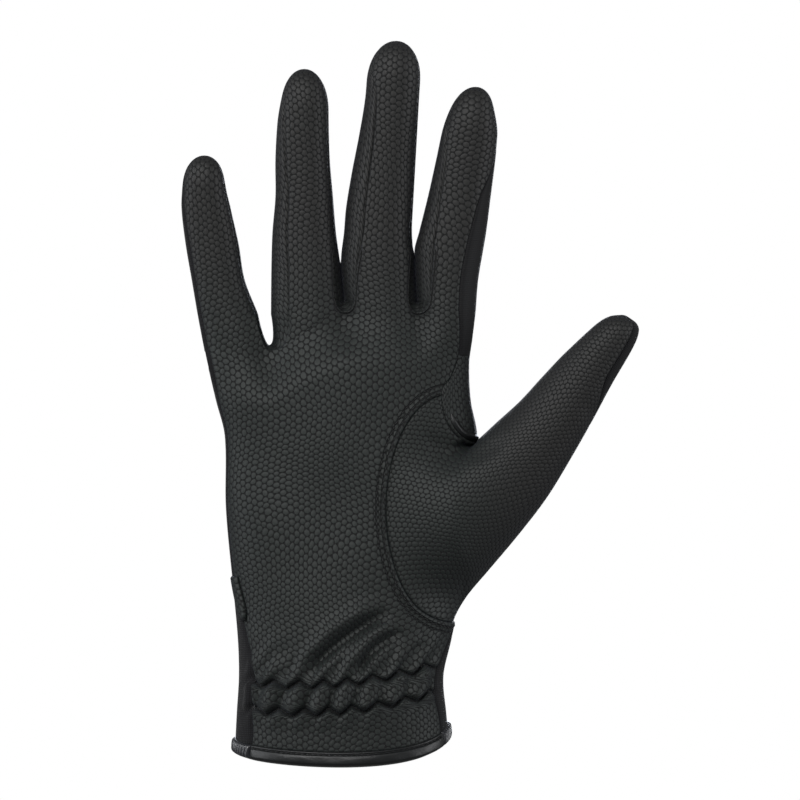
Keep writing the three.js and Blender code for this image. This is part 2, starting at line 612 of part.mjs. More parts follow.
// The line over the side of the hand where the gusset meets the thumb pieces, from the front top of the
// thumb's seam (0) through the crotch (0.5) to its back top (1).
const crotchZ = bayTop.z - CROTCH_DROP;
function crotchPlace(w) {
  const back = w > 0.5;
  const start = bayPlace(0, back);
  const bend = Math.PI * Math.min(w, 1 - w);
  const z = mix(start.z, crotchZ, Math.sin(bend));
  const s = bodySection(z);
  const x = mix(bodyPoint(start.turn, start.z).x, s.x + s.half, 1 - Math.cos(bend));
  return { turn: bodyTurn(x, z, back), z };
}

function sideSeam(z, back) {
  const up = clamp(z / PALM_HEIGHT, SIDE_SEAM[0].up, 1);
  const turn = along(SIDE_SEAM, "up", back ? "back" : "front", up) * DEG;
  const first = bayPlace(0, back);
  const settle = ease((z - first.z) / 6);
  return mix(first.turn, back ? -turn : turn, settle);
}
const leftSeam = (z) => Math.PI - along(LEFT_SEAM, "up", "turn", z / PALM_HEIGHT) * DEG;
const wristSeam = (z) => along(WRIST_SEAM, "up", "turn", z / PALM_HEIGHT) * DEG;
function hemLine(turn) {
  const tilt = Math.sin(turn) > 0 ? HEM_FRONT_TILT : HEM_BACK_TILT;
  const skew = HEM_SKEW * Math.max(0, Math.sin(turn));
  return (HEM_SIDE_TILT - skew) * Math.cos(turn) - tilt * Math.sin(turn);
}

// The ends of a row of the palm or the back of the hand. A row's place is 0 at the hem, 1 at the bottom of
// the thumb's seam, 2 at its top and 3 at the webs.
function rowEnds(at, back) {
  const leftEnd = (z) => ({ turn: leftSeam(z), z });
  if (at <= 1) {
    const z = mix(hemLine(0) + HEM_HEIGHT, bayEnd.z, at);
    return [leftEnd(mix(hemLine(Math.PI) + HEM_HEIGHT, bayEnd.z, at)), { turn: wristSeam(z), z }];
  }
  if (at <= 2) return [leftEnd(mix(bayEnd.z, bayTop.z, at - 1)), bayPlace(2 - at, back)];
  const z = mix(bayTop.z, slits[2].bottom, at - 2);
  return [leftEnd(mix(bayTop.z, slits[0].bottom, at - 2)), { turn: sideSeam(z, back), z }];
}

// A row of the palm or back of the hand. Its columns spread out evenly lower down, and towards the webs
// they run to the shares that the fingers' columns have there. The back keeps a column on the outline.
function handRow(at, back, columns, topShares) {
  const [left, right] = rowEnds(at, back);
  const from = left.turn;
  const to = back ? right.turn + 2 * Math.PI : right.turn;
  const settle = topShares ? ease((at - 2.1) / 0.9) : 0;
  const vertices = [];
  for (let i = 0; i <= columns; i += 1) {
    const even = i / columns;
    const share = topShares ? mix(even, topShares[i], settle) : even;
    let turn = mix(from, to, share);
    if (back && i > 0) {
      const first = mix(1 / columns, topShares[1], settle);
      turn = mix(Math.PI, to, (share - first) / (1 - first));
    }
    if (!back && i > 0 && i < columns) {
      const across = mix(Math.cos(from), Math.cos(to), share);
      turn = Math.acos(mix(across, Math.cos(turn), 0.4 * (1 - settle)));
    }
    let z = mix(left.z, right.z, share);
    if (at > 2) {
      const level = mix(slits[0].bottom, slits[2].bottom, share);
      z += (webHeight(bodyPoint(turn, z).x, back) - level) * ease(at - 2);
    }
    if (at < 1) z = mix(hemLine(turn) + HEM_HEIGHT, bayEnd.z, at);
    vertices.push(bodyVertex(turn, z));
  }
  return vertices;
}

// The palm piece or the back piece: rows of the hand, then four fingers that share its top row.
function comb(back, columns, rowPlaces, gatherRows) {
  const sheet = newSheet();
  const first = [];
  for (let k = 0; k < 4; k += 1) {
    const row = fingerRow(k, back, 0, columns);
    row.slice(k ? 1 : 0).forEach((v) => first.push(addPoint(sheet, v)));
  }
  const places = first.map((id) => {
    const { p } = sheet.points[id];
    if (!back) return p.x;
    return p.y < 0 && p.x < 0 ? bodyTurn(p.x, p.z, false) : bodyTurn(p.x, p.z, true) + 2 * Math.PI;
  });
  const span = places[places.length - 1] - places[0];
  const shares = places.map((place) => (place - places[0]) / span);
  const ids = rowPlaces.map((at) => handRow(at, back, 4 * columns, shares).map((v) => addPoint(sheet, v)));
  addGrid(sheet, [...ids, first]);
  if (gatherRows) {
    const fine = gatherRows.map((at) => handRow(at, back, 8 * columns, null).map((v) => addPoint(sheet, v)));
    addGrid(sheet, fine);
    const below = fine[fine.length - 1];
    for (let j = 0; j + 1 < ids[0].length; j += 1) {
      sheet.faces.push([below[2 * j], below[2 * j + 1], ids[0][j]]);
      sheet.faces.push([below[2 * j + 1], ids[0][j + 1], ids[0][j]]);
      sheet.faces.push([below[2 * j + 1], below[2 * j + 2], ids[0][j + 1]]);
    }
  }
  for (let k = 0; k < 4; k += 1) {
    const rows = [first.slice(k * columns, (k + 1) * columns + 1)];
    for (let row = 1; row <= ROUND_ROWS + FREE_ROWS; row += 1) {
      rows.push(fingerRow(k, back, row, columns).map((v) => addPoint(sheet, v)));
    }
    addGrid(sheet, rows);
  }
  return sheet;
}

// The strip between two fingers
function strip(k) {
  const sheet = newSheet();
  const places = [];
  for (let row = STRIP_ROWS; row > 0; row -= 1) places.push(-stripPlace(row));
  for (let row = 0; row <= STRIP_ROWS; row += 1) places.push(stripPlace(row));
  const columns = 4;
  const ids = places.map((t) => {
    const row = [];
    for (let i = 0; i <= columns; i += 1) row.push(addPoint(sheet, stripVertex(k, t, i / columns)));
    return row;
  });
  addGrid(sheet, ids);
  return sheet;
}

// The smooth strip along the index finger's side and the hand's, down to the gusset.
const STRIP_COLUMNS = 4;
const GUSSET_COLUMNS = 8;
function sideStrip() {
  const sheet = newSheet();
  const rows = [];
  for (let row = ROUND_ROWS + FREE_ROWS; row >= 0; row -= 1) {
    const front = fingerEdge(3, 1, false, row);
    const z = front.p.z;
    const from = fingerSeam(3, 1, false, z);
    const to = fingerSeam(3, 1, true, z);
    if (from - to < 4 * DEG) continue;
    const line = [];
    for (let i = 0; i <= STRIP_COLUMNS; i += 1) {
      line.push(addPoint(sheet, fingerVertex(3, mix(from, to, i / STRIP_COLUMNS), z)));
    }
    rows.push(line);
  }
  for (const share of [1 / 3, 2 / 3, 1]) {
    const z = mix(slits[2].bottom, SIDE_STRIP_END, share);
    const line = [];
    for (let i = 0; i <= STRIP_COLUMNS; i += 1) {
      const turn = mix(sideSeam(z, false), sideSeam(z, true), i / STRIP_COLUMNS);
      line.push(addPoint(sheet, bodyVertex(turn, z)));
    }
    rows.push(line);
  }
  addGrid(sheet, rows);
  return sheet;
}

// The embossed gusset between the side strip and the crotch.
function gusset() {
  const sheet = newSheet();
  const rows = [];
  const steps = 4;
  for (let r = 0; r <= steps; r += 1) {
    const line = [];
    for (let i = 0; i <= GUSSET_COLUMNS; i += 1) {
      const w = i / GUSSET_COLUMNS;
      const low = crotchPlace(w);
      const z = mix(SIDE_STRIP_END, low.z + CROTCH_RELIEF * Math.sin(Math.PI * w), r / steps);
      const top = mix(sideSeam(SIDE_STRIP_END, false), sideSeam(SIDE_STRIP_END, true), w);
      let turn = mix(top, low.turn, r / steps);
      if (i === 0) turn = sideSeam(z, false);
      if (i === GUSSET_COLUMNS) turn = sideSeam(z, true);
      line.push(addPoint(sheet, bodyVertex(turn, z)));
    }
    rows.push(line);
  }
  addGrid(sheet, rows);
  return sheet;
}

// The thumb's front or back, flat from the front: the first row (0) lies on the seam in the hand, the row
// at THUMB_FREE leaves the crotch and the last one (1) closes the tip. Its width runs from the thumb's
// inner edge (0) to its outer edge (1).
function thumbFlat(at, q, back) {
  const crotch = bodyPoint(0, crotchZ);
  const column = (name) => THUMB_LENGTH * along(THUMB_ROWS, "at", name, Math.max(at, THUMB_FREE));
  const early = clamp(at / THUMB_FREE, 0, 1);
  const inner = new THREE.Vector2(crotch.x + column("inX"), crotch.z + column("inZ"));
  const outer = new THREE.Vector2(crotch.x + column("outX"), crotch.z + column("outZ"));
  let bow = column("bow");
  if (early < 1) {
    const seam = crotchPlace(back ? 1 - early / 2 : early / 2);
    inner.set(bodyPoint(seam.turn, seam.z).x, seam.z);
    const end = bodyPoint(0, bayEnd.z);
    outer.x = mix(end.x, outer.x, Math.pow(early, 1.5));
    outer.y = mix(end.z, outer.y, Math.pow(early, 1.13));
    bow = mix(back ? BACK_BAY_WIDTH : BAY_WIDTH, bow, ease(early * 0.8) / ease(0.8));
  }
  const middle = inner.clone().add(outer).multiplyScalar(0.5);
  const half = outer.clone().sub(inner).multiplyScalar(0.5);
  const aside = new THREE.Vector2(half.y, -half.x).normalize();
  middle.addScaledVector(half, -Math.cos(Math.PI * q));
  return middle.addScaledVector(aside, bow * Math.sin(Math.PI * q));
}
function thumbPlace(at, q, back) {
  const early = clamp(at / THUMB_FREE, 0, 1);
  const flat = thumbFlat(at, q, back);
  if (early < 1) {
    const seam = bayPlace(q, back);
    const onSeam = new THREE.Vector2(bodyPoint(seam.turn, seam.z).x, seam.z);
    flat.addScaledVector(onSeam.sub(thumbFlat(0, q, back)), 1 - ease(early));
  }
  return { x: flat.x, z: flat.y, early };
}

function thumbPoint(at, q, back) {
  const place = thumbPlace(at, q, back);
  const late = Math.max(at, THUMB_FREE);
  const depth = THUMB_DEPTH * along(THUMB_ROWS, "at", back ? "back" : "front", late);
  const lean = (THUMB_LEAN * (late - THUMB_FREE)) / (1 - THUMB_FREE);
  const deep = Math.abs(squareRound(Math.PI * q, SQUARE_THUMB)[1]);
  const tube = (back ? depth : -depth) * deep - lean;
  if (place.early >= 1) return new THREE.Vector3(place.x, tube, place.z);
  const hand = bodyPoint(bodyTurn(place.x, place.z, back), place.z).y;
  const spread = mix(ease(q / 0.35), 1, ease((place.early - 0.7) / 0.3));
  return new THREE.Vector3(place.x, mix(hand, tube, ease(place.early) * spread), place.z);
}

// A point of the thumb with the direction that faces out there: the hand's own on the seam, the thumb's
// further up, and level with the mid plane along the thumb's two side seams.
function thumbVertex(at, q, back) {
  const step = 0.004;
  const p = thumbPoint(at, q, back);
  if (at >= 1) return { p, n: new THREE.Vector3(0.7, 0, 0.7).normalize() };
  const place = (a, b) => thumbPoint(clamp(a, 0, 0.999), clamp(b, 0, 1), back);
  const run = place(at + step, q).sub(place(at - step, q));
  const across = place(at, q + step).sub(place(at, q - step));
  const n = across.cross(run).normalize();
  if (back) n.negate();
  if (q === 0 || q === 1) n.setY(0).normalize();
  const early = clamp(at / THUMB_FREE, 0, 1);
  if (early >= 1) return { p, n };
  const hand = facing(bodyPoint, bodyTurn(p.x, p.z, back), p.z);
  if (q === 1) hand.set(1, 0, 0);
  const settle = ease(early * 1.4) * (q === 0 ? ease(early) : 1);
  return { p, n: hand.lerp(n, settle).normalize() };
}

// Its rows start on the gusset's columns and its columns on the hand's rows.
function thumbPiece(back, rows, places) {
  const sheet = newSheet();
  const ids = [];
  const first = GUSSET_COLUMNS / 2;
  for (let i = 0; i <= first + rows; i += 1) {
    const t = (i - first) / rows;
    const free = mix(t, Math.sin((t * Math.PI) / 2), 0.6);
    const at = i < first ? (THUMB_FREE * i) / first : mix(THUMB_FREE, 1, free);
    ids.push(places.map((place) => addPoint(sheet, thumbVertex(at, 2 - place, back))));
  }
  addGrid(sheet, ids);
  return sheet;
}

// The binding round the hem between two turns: its wall stands proud of the leather above it, outside and
// inside, and it bulges round its edge.
function binding(from, to, steps) {
  const sheet = newSheet();
  const ids = [];
  for (let i = 0; i <= steps; i += 1) {
    const turn = mix(from, to, i / steps);
    const line = [];
    for (let r = 0; r <= 2; r += 1) {
      const v = bodyVertex(turn, hemLine(turn) + (r / 2) * HEM_HEIGHT);
      v.p.addScaledVector(v.n, r === 1 ? HEM_BULGE : 0);
      line.push(addPoint(sheet, v));
    }
    ids.push(line);
  }
  addGrid(sheet, ids);
  return sheet;
}

// The welt over the thumb's crotch: a flat narrow strip laid on the gusset just above the thumb's seam.
function welt() {
  const sheet = newSheet();
  const ids = [];
  const steps = 16;
  for (let i = 0; i <= steps; i += 1) {
    const w = mix(WELT_START, 1 - WELT_START, i / steps);
    const before = crotchPlace(w - 0.01);
    const after = crotchPlace(w + 0.01);
    const run = bodyPoint(after.turn, after.z).sub(bodyPoint(before.turn, before.z));
    const here = crotchPlace(w);
    const low = bodyVertex(here.turn, here.z);
    const aside = low.n.clone().cross(run).normalize();
    const line = [];
    for (let j = -1; j <= 1; j += 1) {
      const flat = low.p.clone().addScaledVector(aside, WELT_ASIDE + (j * WELT_WIDTH) / 2);
      const turn = bodyTurn(flat.x, flat.z, flat.y > 0);
      line.push(addPoint(sheet, bodyVertex(Math.abs(flat.y) < 0.01 ? 0 : turn, flat.z)));
    }
    ids.push(line);
  }
  addGrid(sheet, ids);
  return sheet;
}

// The closure's tongue: the round end of a strap that comes round the little finger's side of the wrist.
function tongue() {
  const sheet = newSheet();
  const ids = [];
  const steps = 5;
  for (let i = 0; i <= steps; i += 1) {
    const t = i / steps;
    const z = mix(TONGUE_TOP, TONGUE_BOTTOM, t);
    const round = Math.max(0, (t - TONGUE_STRAIGHT) / (1 - TONGUE_STRAIGHT));
    const width = TONGUE_WIDTH * Math.sqrt(Math.max(0.06, 1 - round * round));
    const half = width / bodySection(z).half / 2;
    const line = [];
    for (let j = 0; j <= 4; j += 1) {
      const v = bodyVertex(leftSeam(z) - TONGUE_TURN + half * (1 - j / 2), z);
      line.push(addPoint(sheet, v));
    }
    ids.push(line);
  }
  addGrid(sheet, ids);
  return sheet;
}

const LEATHER = 0x2b2f2e;
const FABRIC = 0x26282a;
const SMOOTH = 0x1c1e1f;
const ELASTIC = 0x18191b;

// Rows of the hand. From the seam's top up they are those of the gusset and the side strip.
const stripEnd = (SIDE_STRIP_END - bayTop.z) / (slits[2].bottom - bayTop.z);
const gussetRows = [0.25, 0.5, 0.75, 1].map((t) => 2 + t * stripEnd);
const webRows = [1 / 3, 2 / 3].map((t) => 2 + mix(stripEnd, 1, t));
const wristRows = [0, 0.13, 0.24, 0.34, 0.43, 0.51, 0.59, 0.67, 0.76, 0.88];
const palmBay = [1, 1.06, 1.15, 1.25, 1.35, 1.45, 1.56, 1.67, 1.78, 1.89, 2];
const backBay = [1, 1.08, 1.22, 1.38, 1.54, 1.7, 1.85, 2];
const backWrist = [0, 0.33, 0.67];
const palm = comb(false, FINGER_COLUMNS, [...palmBay, ...gussetRows, ...webRows], wristRows);
const back = comb(true, BACK_COLUMNS, [...backWrist, ...backBay, ...gussetRows, ...webRows], null);

const hemFrom = wristSeam(0);
const hemTo = leftSeam(0);
const hem = { wall: HEM_WALL, lift: HEM_LIFT };
const onTop = (thickness) => ({ wall: thickness, lift: thickness + GAP });

const glove = new THREE.Group();
glove.name = "horse_riding_glove";
glove.add(slab("palm_panel", palm, LEATHER));
glove.add(slab("back_panel", back, FABRIC));
glove.add(slab("fourchette_ring_little", strip(0), LEATHER));
glove.add(slab("fourchette_middle_ring", strip(1), LEATHER));
glove.add(slab("fourchette_index_middle", strip(2), LEATHER));
glove.add(slab("index_side_panel", sideStrip(), SMOOTH));
glove.add(slab("thumb_gusset", gusset(), LEATHER));
glove.add(slab("thumb_palm_panel", thumbPiece(false, 11, palmBay), LEATHER));
glove.add(slab("thumb_back_panel", thumbPiece(true, 10, backBay), FABRIC));
glove.add(slab("thumb_crotch_welt", welt(), SMOOTH, onTop(WELT_THICKNESS)));
glove.add(slab("hem_binding_front", binding(hemFrom, hemTo, 22), SMOOTH, hem));
glove.add(slab("hem_binding_back", binding(hemTo, hemFrom + 2 * Math.PI, 26), ELASTIC, hem));
glove.add(slab("closure_tongue", tongue(), LEATHER, onTop(TONGUE_THICKNESS)));
export default glove;
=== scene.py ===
# %% [markdown]
# # A leather riding glove, filled as if a hand were inside
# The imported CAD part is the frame: every piece here stands for one of its nodes and keeps that node's
# place. The CAD pieces are faceted sheets. Here the same surfaces are worked out again on much finer
# grids, so that the shirring, the folds, the rolled seams and the embossed cells can be real shapes.
# Lengths are millimetres in the formulas and become metres when a mesh is made.

import bpy
import numpy as np
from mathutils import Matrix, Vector


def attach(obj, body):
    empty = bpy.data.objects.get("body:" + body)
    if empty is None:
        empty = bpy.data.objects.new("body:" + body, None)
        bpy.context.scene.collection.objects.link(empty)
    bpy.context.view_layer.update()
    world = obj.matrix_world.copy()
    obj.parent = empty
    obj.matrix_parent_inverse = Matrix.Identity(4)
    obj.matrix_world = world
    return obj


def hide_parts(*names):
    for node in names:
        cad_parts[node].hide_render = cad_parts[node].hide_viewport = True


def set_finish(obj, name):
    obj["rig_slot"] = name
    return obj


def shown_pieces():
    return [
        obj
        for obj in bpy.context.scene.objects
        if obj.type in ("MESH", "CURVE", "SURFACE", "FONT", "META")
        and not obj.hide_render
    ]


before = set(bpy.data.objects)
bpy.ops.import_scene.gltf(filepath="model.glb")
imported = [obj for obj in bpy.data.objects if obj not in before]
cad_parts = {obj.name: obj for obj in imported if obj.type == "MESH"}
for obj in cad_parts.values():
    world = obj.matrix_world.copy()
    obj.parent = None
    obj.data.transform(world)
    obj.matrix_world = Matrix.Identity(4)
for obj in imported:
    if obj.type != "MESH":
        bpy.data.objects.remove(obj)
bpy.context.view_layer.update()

# %% [markdown]
# ## Sizes
# A glove pattern starts from the hand: the width across the knuckles, the length of each finger and the
# height of the palm. The same few sizes drive every surface below.

# %% Driving sizes in millimetres
PALM_HEIGHT = 140.4
PALM_FRONT, PALM_BACK = 15.5, 14.0
KNUCKLE_SHIFT = 0.8
WIDTHS = np.array([23.9, 24.4, 23.4, 18.9])  # little, ring, middle and index finger
LENGTHS = np.array([63.0, 78.3, 87.4, 72.8])
DEPTHS = np.array([17.0, 20.0, 20.6, 20.0]) / 2
TIP_DOMES, TIP_ROUND = np.array([0.47, 0.58, 0.58, 0.83]), 2.2
THUMB_LENGTH, THUMB_DEPTH, THUMB_LEAN = 61.5, 21.0, 12.3
FINGER_CURL = 6.0
WEB_DEPTH, WEB_DROP = 7.0, 4.0
WALL, GAP = 1.2, 0.35
PRESSED, PRESS_REACH, PRESS_FADE = 0.04, 1.2, 6.0  # low in two slits the fingers press together
PRESSED_BELOW = np.array([0, 157.5, 161.5])
HEM_HEIGHT, HEM_WALL, HEM_LIFT, HEM_BULGE = 4.6, 2.6, 0.5, 0.5
HEM_SIDE_TILT, HEM_FRONT_TILT, HEM_BACK_TILT, HEM_SKEW = 2.55, 6.2, 2.0, 2.4
BAY_WIDTH, BAY_HEIGHT, BACK_BAY_WIDTH = 20.8, 74.0, 14.0
CROTCH_DROP, CROTCH_RELIEF = 16.0, 0.1
SIDE_STRIP_END, SIDE_STRIP_TIP, SIDE_STRIP_TAPER = 125.8, 0.72, 0.3  # a height, and shares of the index
SQUARE_FINGER, SQUARE_THUMB = 2.3, 2.2
MOUND_FADE, MOUND_CORNER = 18.0, 8  # a mound swells over this height, and meets its web with this corner
BACK_SEAM = np.radians(35)
KNUCKLE_WIDTH = WIDTHS.sum()
print("knuckles", KNUCKLE_WIDTH, "mm wide")


# %% [markdown]
# ## Sections
# A worn glove has no straight side. Each stretch of it is described by a few sections, a row of numbers
# each, and a smooth curve is drawn through the rows of one column. Heights are shares of the palm's
# height or of the finger's length, and widths are shares of the knuckles' or the finger's width.

# %% Tables and the curve through them
def table(names, *rows):
    """Rows of numbers as a dictionary of columns."""
    return dict(zip(names.split(), np.array(rows, float).T))


BODY = table(
    "up left right front back square",
    (-0.06, -0.391, 0.391, 1.35, 1.5, 2.1),
    (0.072, -0.381, 0.37, 1.35, 1.48, 2.1),
    (0.155, -0.3735, 0.36, 1.32, 1.43, 2.15),
    (0.2385, -0.377, 0.388, 1.28, 1.36, 2.2),
    (0.354, -0.393, 0.424, 1.2, 1.2, 2.3),
    (0.544, -0.42, 0.463, 1.08, 1.05, 2.6),
    (0.711, -0.424, 0.481, 1.02, 1, 2.7),
    (0.794, -0.456, 0.458, 1, 1, 2.6),
    (0.878, -0.485, 0.4525, 0.97, 1, 2.5),
    (0.933, -0.503, 0.463, 0.93, 0.98, 2.5),
    (1, -0.5243, 0.4758, 0.87, 0.93, 2.4),
)
LEFT_SEAM = table("up turn", (-0.06, 32), (0.17, 32), (0.29, 20), (0.42, 10), (0.9, 14))
WRIST_SEAM = table("up turn", (-0.06, 20), (0.078, 21), (0.148, 25), (0.23, 15), (0.282, 0))
SIDE_SEAM = table(
    "up front back",
    (0.807, 38.7, 34), (0.848, 30.1, 29), (0.891, 23.6, 24), (0.95, 25.2, 18), (1, 28.4, 14),
)
FINGER_COLUMNS = "up left right thick seam_left seam_right"
FINGER_ROWS = [
    table(
        FINGER_COLUMNS,
        (0, -0.398, 0.493, 1, 25, 20),
        (0.175, -0.486, 0.344, 1, 28, 19),
        (0.361, -0.568, 0.153, 0.97, 30, 18),
        (0.546, -0.65, 0.071, 0.94, 32, 18),
        (0.732, -0.704, -0.037, 0.9, 28, 17),
        (0.856, -0.69, -0.105, 0.86, 24, 15),
        (1, -0.69, -0.09, 0.86, 15, 12),
    ),
    table(
        FINGER_COLUMNS,
        (-0.16, -0.493, 0.494, 1.02, 59, 41),
        (0, -0.493, 0.494, 1, 59, 41),
        (0.203, -0.486, 0.427, 0.98, 59, 35),
        (0.328, -0.4725, 0.373, 0.96, 58, 26),
        (0.477, -0.432, 0.333, 0.94, 57, 23),
        (0.627, -0.432, 0.293, 0.91, 52, 18),
        (0.776, -0.405, 0.279, 0.88, 43, 14),
        (0.875, -0.365, 0.279, 0.85, 26, 13),
        (1, -0.37, 0.28, 0.83, 15, 12),
    ),
    table(
        FINGER_COLUMNS,
        (0, -0.493, 0.493, 1, 40, 41),
        (0.182, -0.5625, 0.451, 0.98, 57, 26),
        (0.294, -0.521, 0.424, 0.97, 65, 18),
        (0.383, -0.493, 0.4375, 0.96, 65, 15),
        (0.517, -0.41, 0.465, 0.94, 64, 14),
        (0.65, -0.3125, 0.493, 0.91, 61, 14),
        (0.784, -0.229, 0.521, 0.88, 53, 14),
        (0.874, -0.201, 0.542, 0.86, 40, 13),
        (1, -0.17, 0.57, 0.84, 20, 12),
    ),
    table(
        FINGER_COLUMNS,
        (0, -0.491, 0.5, 1, 51, 65),
        (0.143, -0.534, 0.543, 0.99, 60, 64),
        (0.277, -0.552, 0.629, 0.98, 63, 60),
        (0.357, -0.474, 0.681, 0.97, 60, 58),
        (0.518, -0.319, 0.759, 0.94, 53, 46),
        (0.679, -0.181, 0.836, 0.91, 46, 12),
        (0.786, -0.095, 0.871, 0.88, 32, 0),
        (0.893, -0.009, 0.87, 0.86, 18, 0),
        (1, 0.04, 0.94, 0.84, 12, 0),
    ),
]
SLITS = table(
    "up round middle lean bow",
    (0.9095, 0.48, 0.41, -0.247, 0.24),
    (1, 0.15, 0.02, -0.138, 0.198),
    (0.998, 0.15, 0.02, -0.103, 0.239),
)
THUMB_ROWS = table(
    "at in_x in_z out_x out_z bow front back",
    (0.2, 0, 0, 0.045, -0.692, 0.148, 1, 0.7),
    (0.32, 0.11, 0.118, 0.222, -0.476, 0.074, 0.82, 0.64),
    (0.45, 0.226, 0.228, 0.372, -0.275, 0.032, 0.66, 0.57),
    (0.58, 0.336, 0.35, 0.505, -0.053, 0.01, 0.56, 0.5),
    (0.7, 0.436, 0.458, 0.608, 0.132, 0, 0.5, 0.46),
    (0.8, 0.507, 0.527, 0.709, 0.322, 0, 0.46, 0.43),
    (0.88, 0.574, 0.59, 0.81, 0.497, 0, 0.41, 0.39),
    (0.94, 0.64, 0.646, 0.845, 0.585, 0, 0.33, 0.32),
    (0.98, 0.693, 0.674, 0.834, 0.636, 0, 0.2, 0.2),
    (1, 0.745, 0.683, 0.78, 0.677, 0, 0, 0),
)
THUMB_FREE = THUMB_ROWS["at"][0]


def mix(a, b, t):
    return a + (b - a) * t


def ease(t):
    """0 below 0, 1 above 1, and an S between them."""
    c = np.clip(t, 0, 1)
    return c * c * (3 - 2 * c)


def along(rows, key, column, at):
    """A column of a table at places between its rows: the cubic that passes through two neighbouring
    rows with the slope of the line between the rows on their far sides."""
    places, values = rows[key], rows[column]
    before = np.r_[0, np.arange(len(places) - 1)]
    after = np.r_[np.arange(1, len(places)), len(places) - 1]
    slope = (values[after] - values[before]) / (places[after] - places[before])
    i = np.clip(np.searchsorted(places, at) - 1, 0, len(places) - 2)
    span = places[i + 1] - places[i]
    t = np.clip((at - places[i]) / span, 0, 1)
    return (
        (2 * t**3 - 3 * t**2 + 1) * values[i]
        + (t**3 - 2 * t**2 + t) * slope[i] * span
        + (3 * t**2 - 2 * t**3) * values[i + 1]
        + (t**3 - t**2) * slope[i + 1] * span
    )


print("finger sections:", [len(rows["up"]) for rows in FINGER_ROWS])


# %% [markdown]
# ## The hand's surfaces
# Everything is told by a turn and a height. Turn 0 is the thumb's side, a quarter turn is the palm, half
# a turn the little finger's side and three quarters the back. A rounded square, with one number for how
# square it is, suits a hand better than an ellipse.

# %% Fingers
def unit(v):
    return v / np.maximum(np.linalg.norm(v, axis=-1, keepdims=True), 1e-9)


def point(x, y, z):
    return np.stack(np.broadcast_arrays(x, y, z), axis=-1).astype(float)


def square_round(turn, square):
    """How far across and how far to the front a turn reaches on the curve |a|^n + |b|^n = 1."""
    across = np.cos(turn)
    deep = np.maximum(0, 1 - np.abs(across) ** square) ** (1 / square)
    return across, np.sign(np.sin(turn)) * deep


SLIT_X = KNUCKLE_SHIFT + np.array([-WIDTHS[1], 0, WIDTHS[2]])
SLIT_BOTTOM = SLITS["up"] * PALM_HEIGHT
SLIT_CENTRE = SLIT_BOTTOM + SLITS["round"] * WIDTHS[1]
FINGER_X = np.array([SLIT_X[0] - WIDTHS[0] / 2, *(SLIT_X + WIDTHS[1:] / 2)])
FINGER_BASE = SLIT_BOTTOM[[0, 1, 1, 2]]
FINGER_TIP = FINGER_BASE + LENGTHS
SEAM_END, SEAM_CLOSE = 0.975, 0.15  # shares of a finger where its two seams meet, and over which they close
BLUNT = 0.3  # a finger narrower than this counts as its tip, which faces straight up


def slit_line(k, z):
    """The middle of a slit: a leaning line with a bow that grows with the square of the height."""
    t = (z - SLIT_BOTTOM[k]) / LENGTHS[2]
    return SLIT_X[k] + LENGTHS[2] * (SLITS["lean"][k] * t + SLITS["bow"][k] * np.maximum(t, 0) * t)


def finger_section(k, z):
    """A finger's middle, half width and half depth at a height, closed by a dome at its tip."""
    up = (z - FINGER_BASE[k]) / LENGTHS[k]
    left = FINGER_X[k] + WIDTHS[k] * along(FINGER_ROWS[k], "up", "left", up)
    right = FINGER_X[k] + WIDTHS[k] * along(FINGER_ROWS[k], "up", "right", up)
    if k > 0:
        left = left - PRESS_REACH * ease((PRESSED_BELOW[k - 1] - z) / PRESS_FADE)
        left = np.maximum(left, slit_line(k - 1, z) - PRESSED)
    if k < 3:
        right = right + PRESS_REACH * ease((PRESSED_BELOW[k] - z) / PRESS_FADE)
        right = np.minimum(right, slit_line(k, z) + PRESSED)
    dome = TIP_DOMES[k] * WIDTHS[k]
    into_dome = np.clip((z - FINGER_TIP[k] + dome) / dome, 0, 1)
    close = np.sqrt(np.maximum(0, 1 - into_dome**TIP_ROUND))
    depth = DEPTHS[k] * along(FINGER_ROWS[k], "up", "thick", up) * close
    return (left + right) / 2, -FINGER_CURL * np.clip(up, 0, 1) ** 2, (right - left) / 2 * close, depth


def finger_point(k, turn, z):
    x, y, half, depth = finger_section(k, z)
    across, deep = square_round(turn, SQUARE_FINGER)
    return point(x + half * across, y - depth * deep, z)


def facing(surface, turn, z):
    """The outward direction: the cross product of a step up the surface and a step round it."""
    step = 0.02
    round_it = surface(turn + step, z) - surface(turn - step, z)
    return unit(np.cross(surface(turn, z + step) - surface(turn, z - step), round_it))


def finger_vertex(k, turn, z):
    turn, z = np.broadcast_arrays(turn, z)
    out = facing(lambda a, b: finger_point(k, a, b), turn, z)
    blunt = (finger_section(k, z)[2] < BLUNT)[..., None]
    return finger_point(k, turn, z), np.where(blunt, [0.0, 0.0, 1.0], out)


def side_strip_back(up):
    """How far round the index finger's back the smooth strip reaches. It narrows to nothing at its tip."""
    return np.radians(30) * np.sqrt(np.clip((SIDE_STRIP_TIP - up) / SIDE_STRIP_TAPER, 0, 1))


def finger_seam(k, side, back, z):
    """The turn of a finger's seam. Both seams run together just below the tip."""
    up = (z - FINGER_BASE[k]) / LENGTHS[k]
    close = np.sqrt(np.clip((SEAM_END - up) / SEAM_CLOSE, 0, 1))
    column = "seam_left" if side < 0 else "seam_right"
    opening = np.radians(along(FINGER_ROWS[k], "up", column, up)) * close
    if back:
        opening = -BACK_SEAM * close
    if back and k == 3 and side > 0:
        opening = -side_strip_back(up)
    return np.pi - opening if side < 0 else opening


print("finger tips at", FINGER_TIP, "mm")


# %% [markdown]
# The palm and the back of the hand are one closed section. Near the webs it swells into four mounds, the
# roots of the fingers, and the surface is a mix of the two.

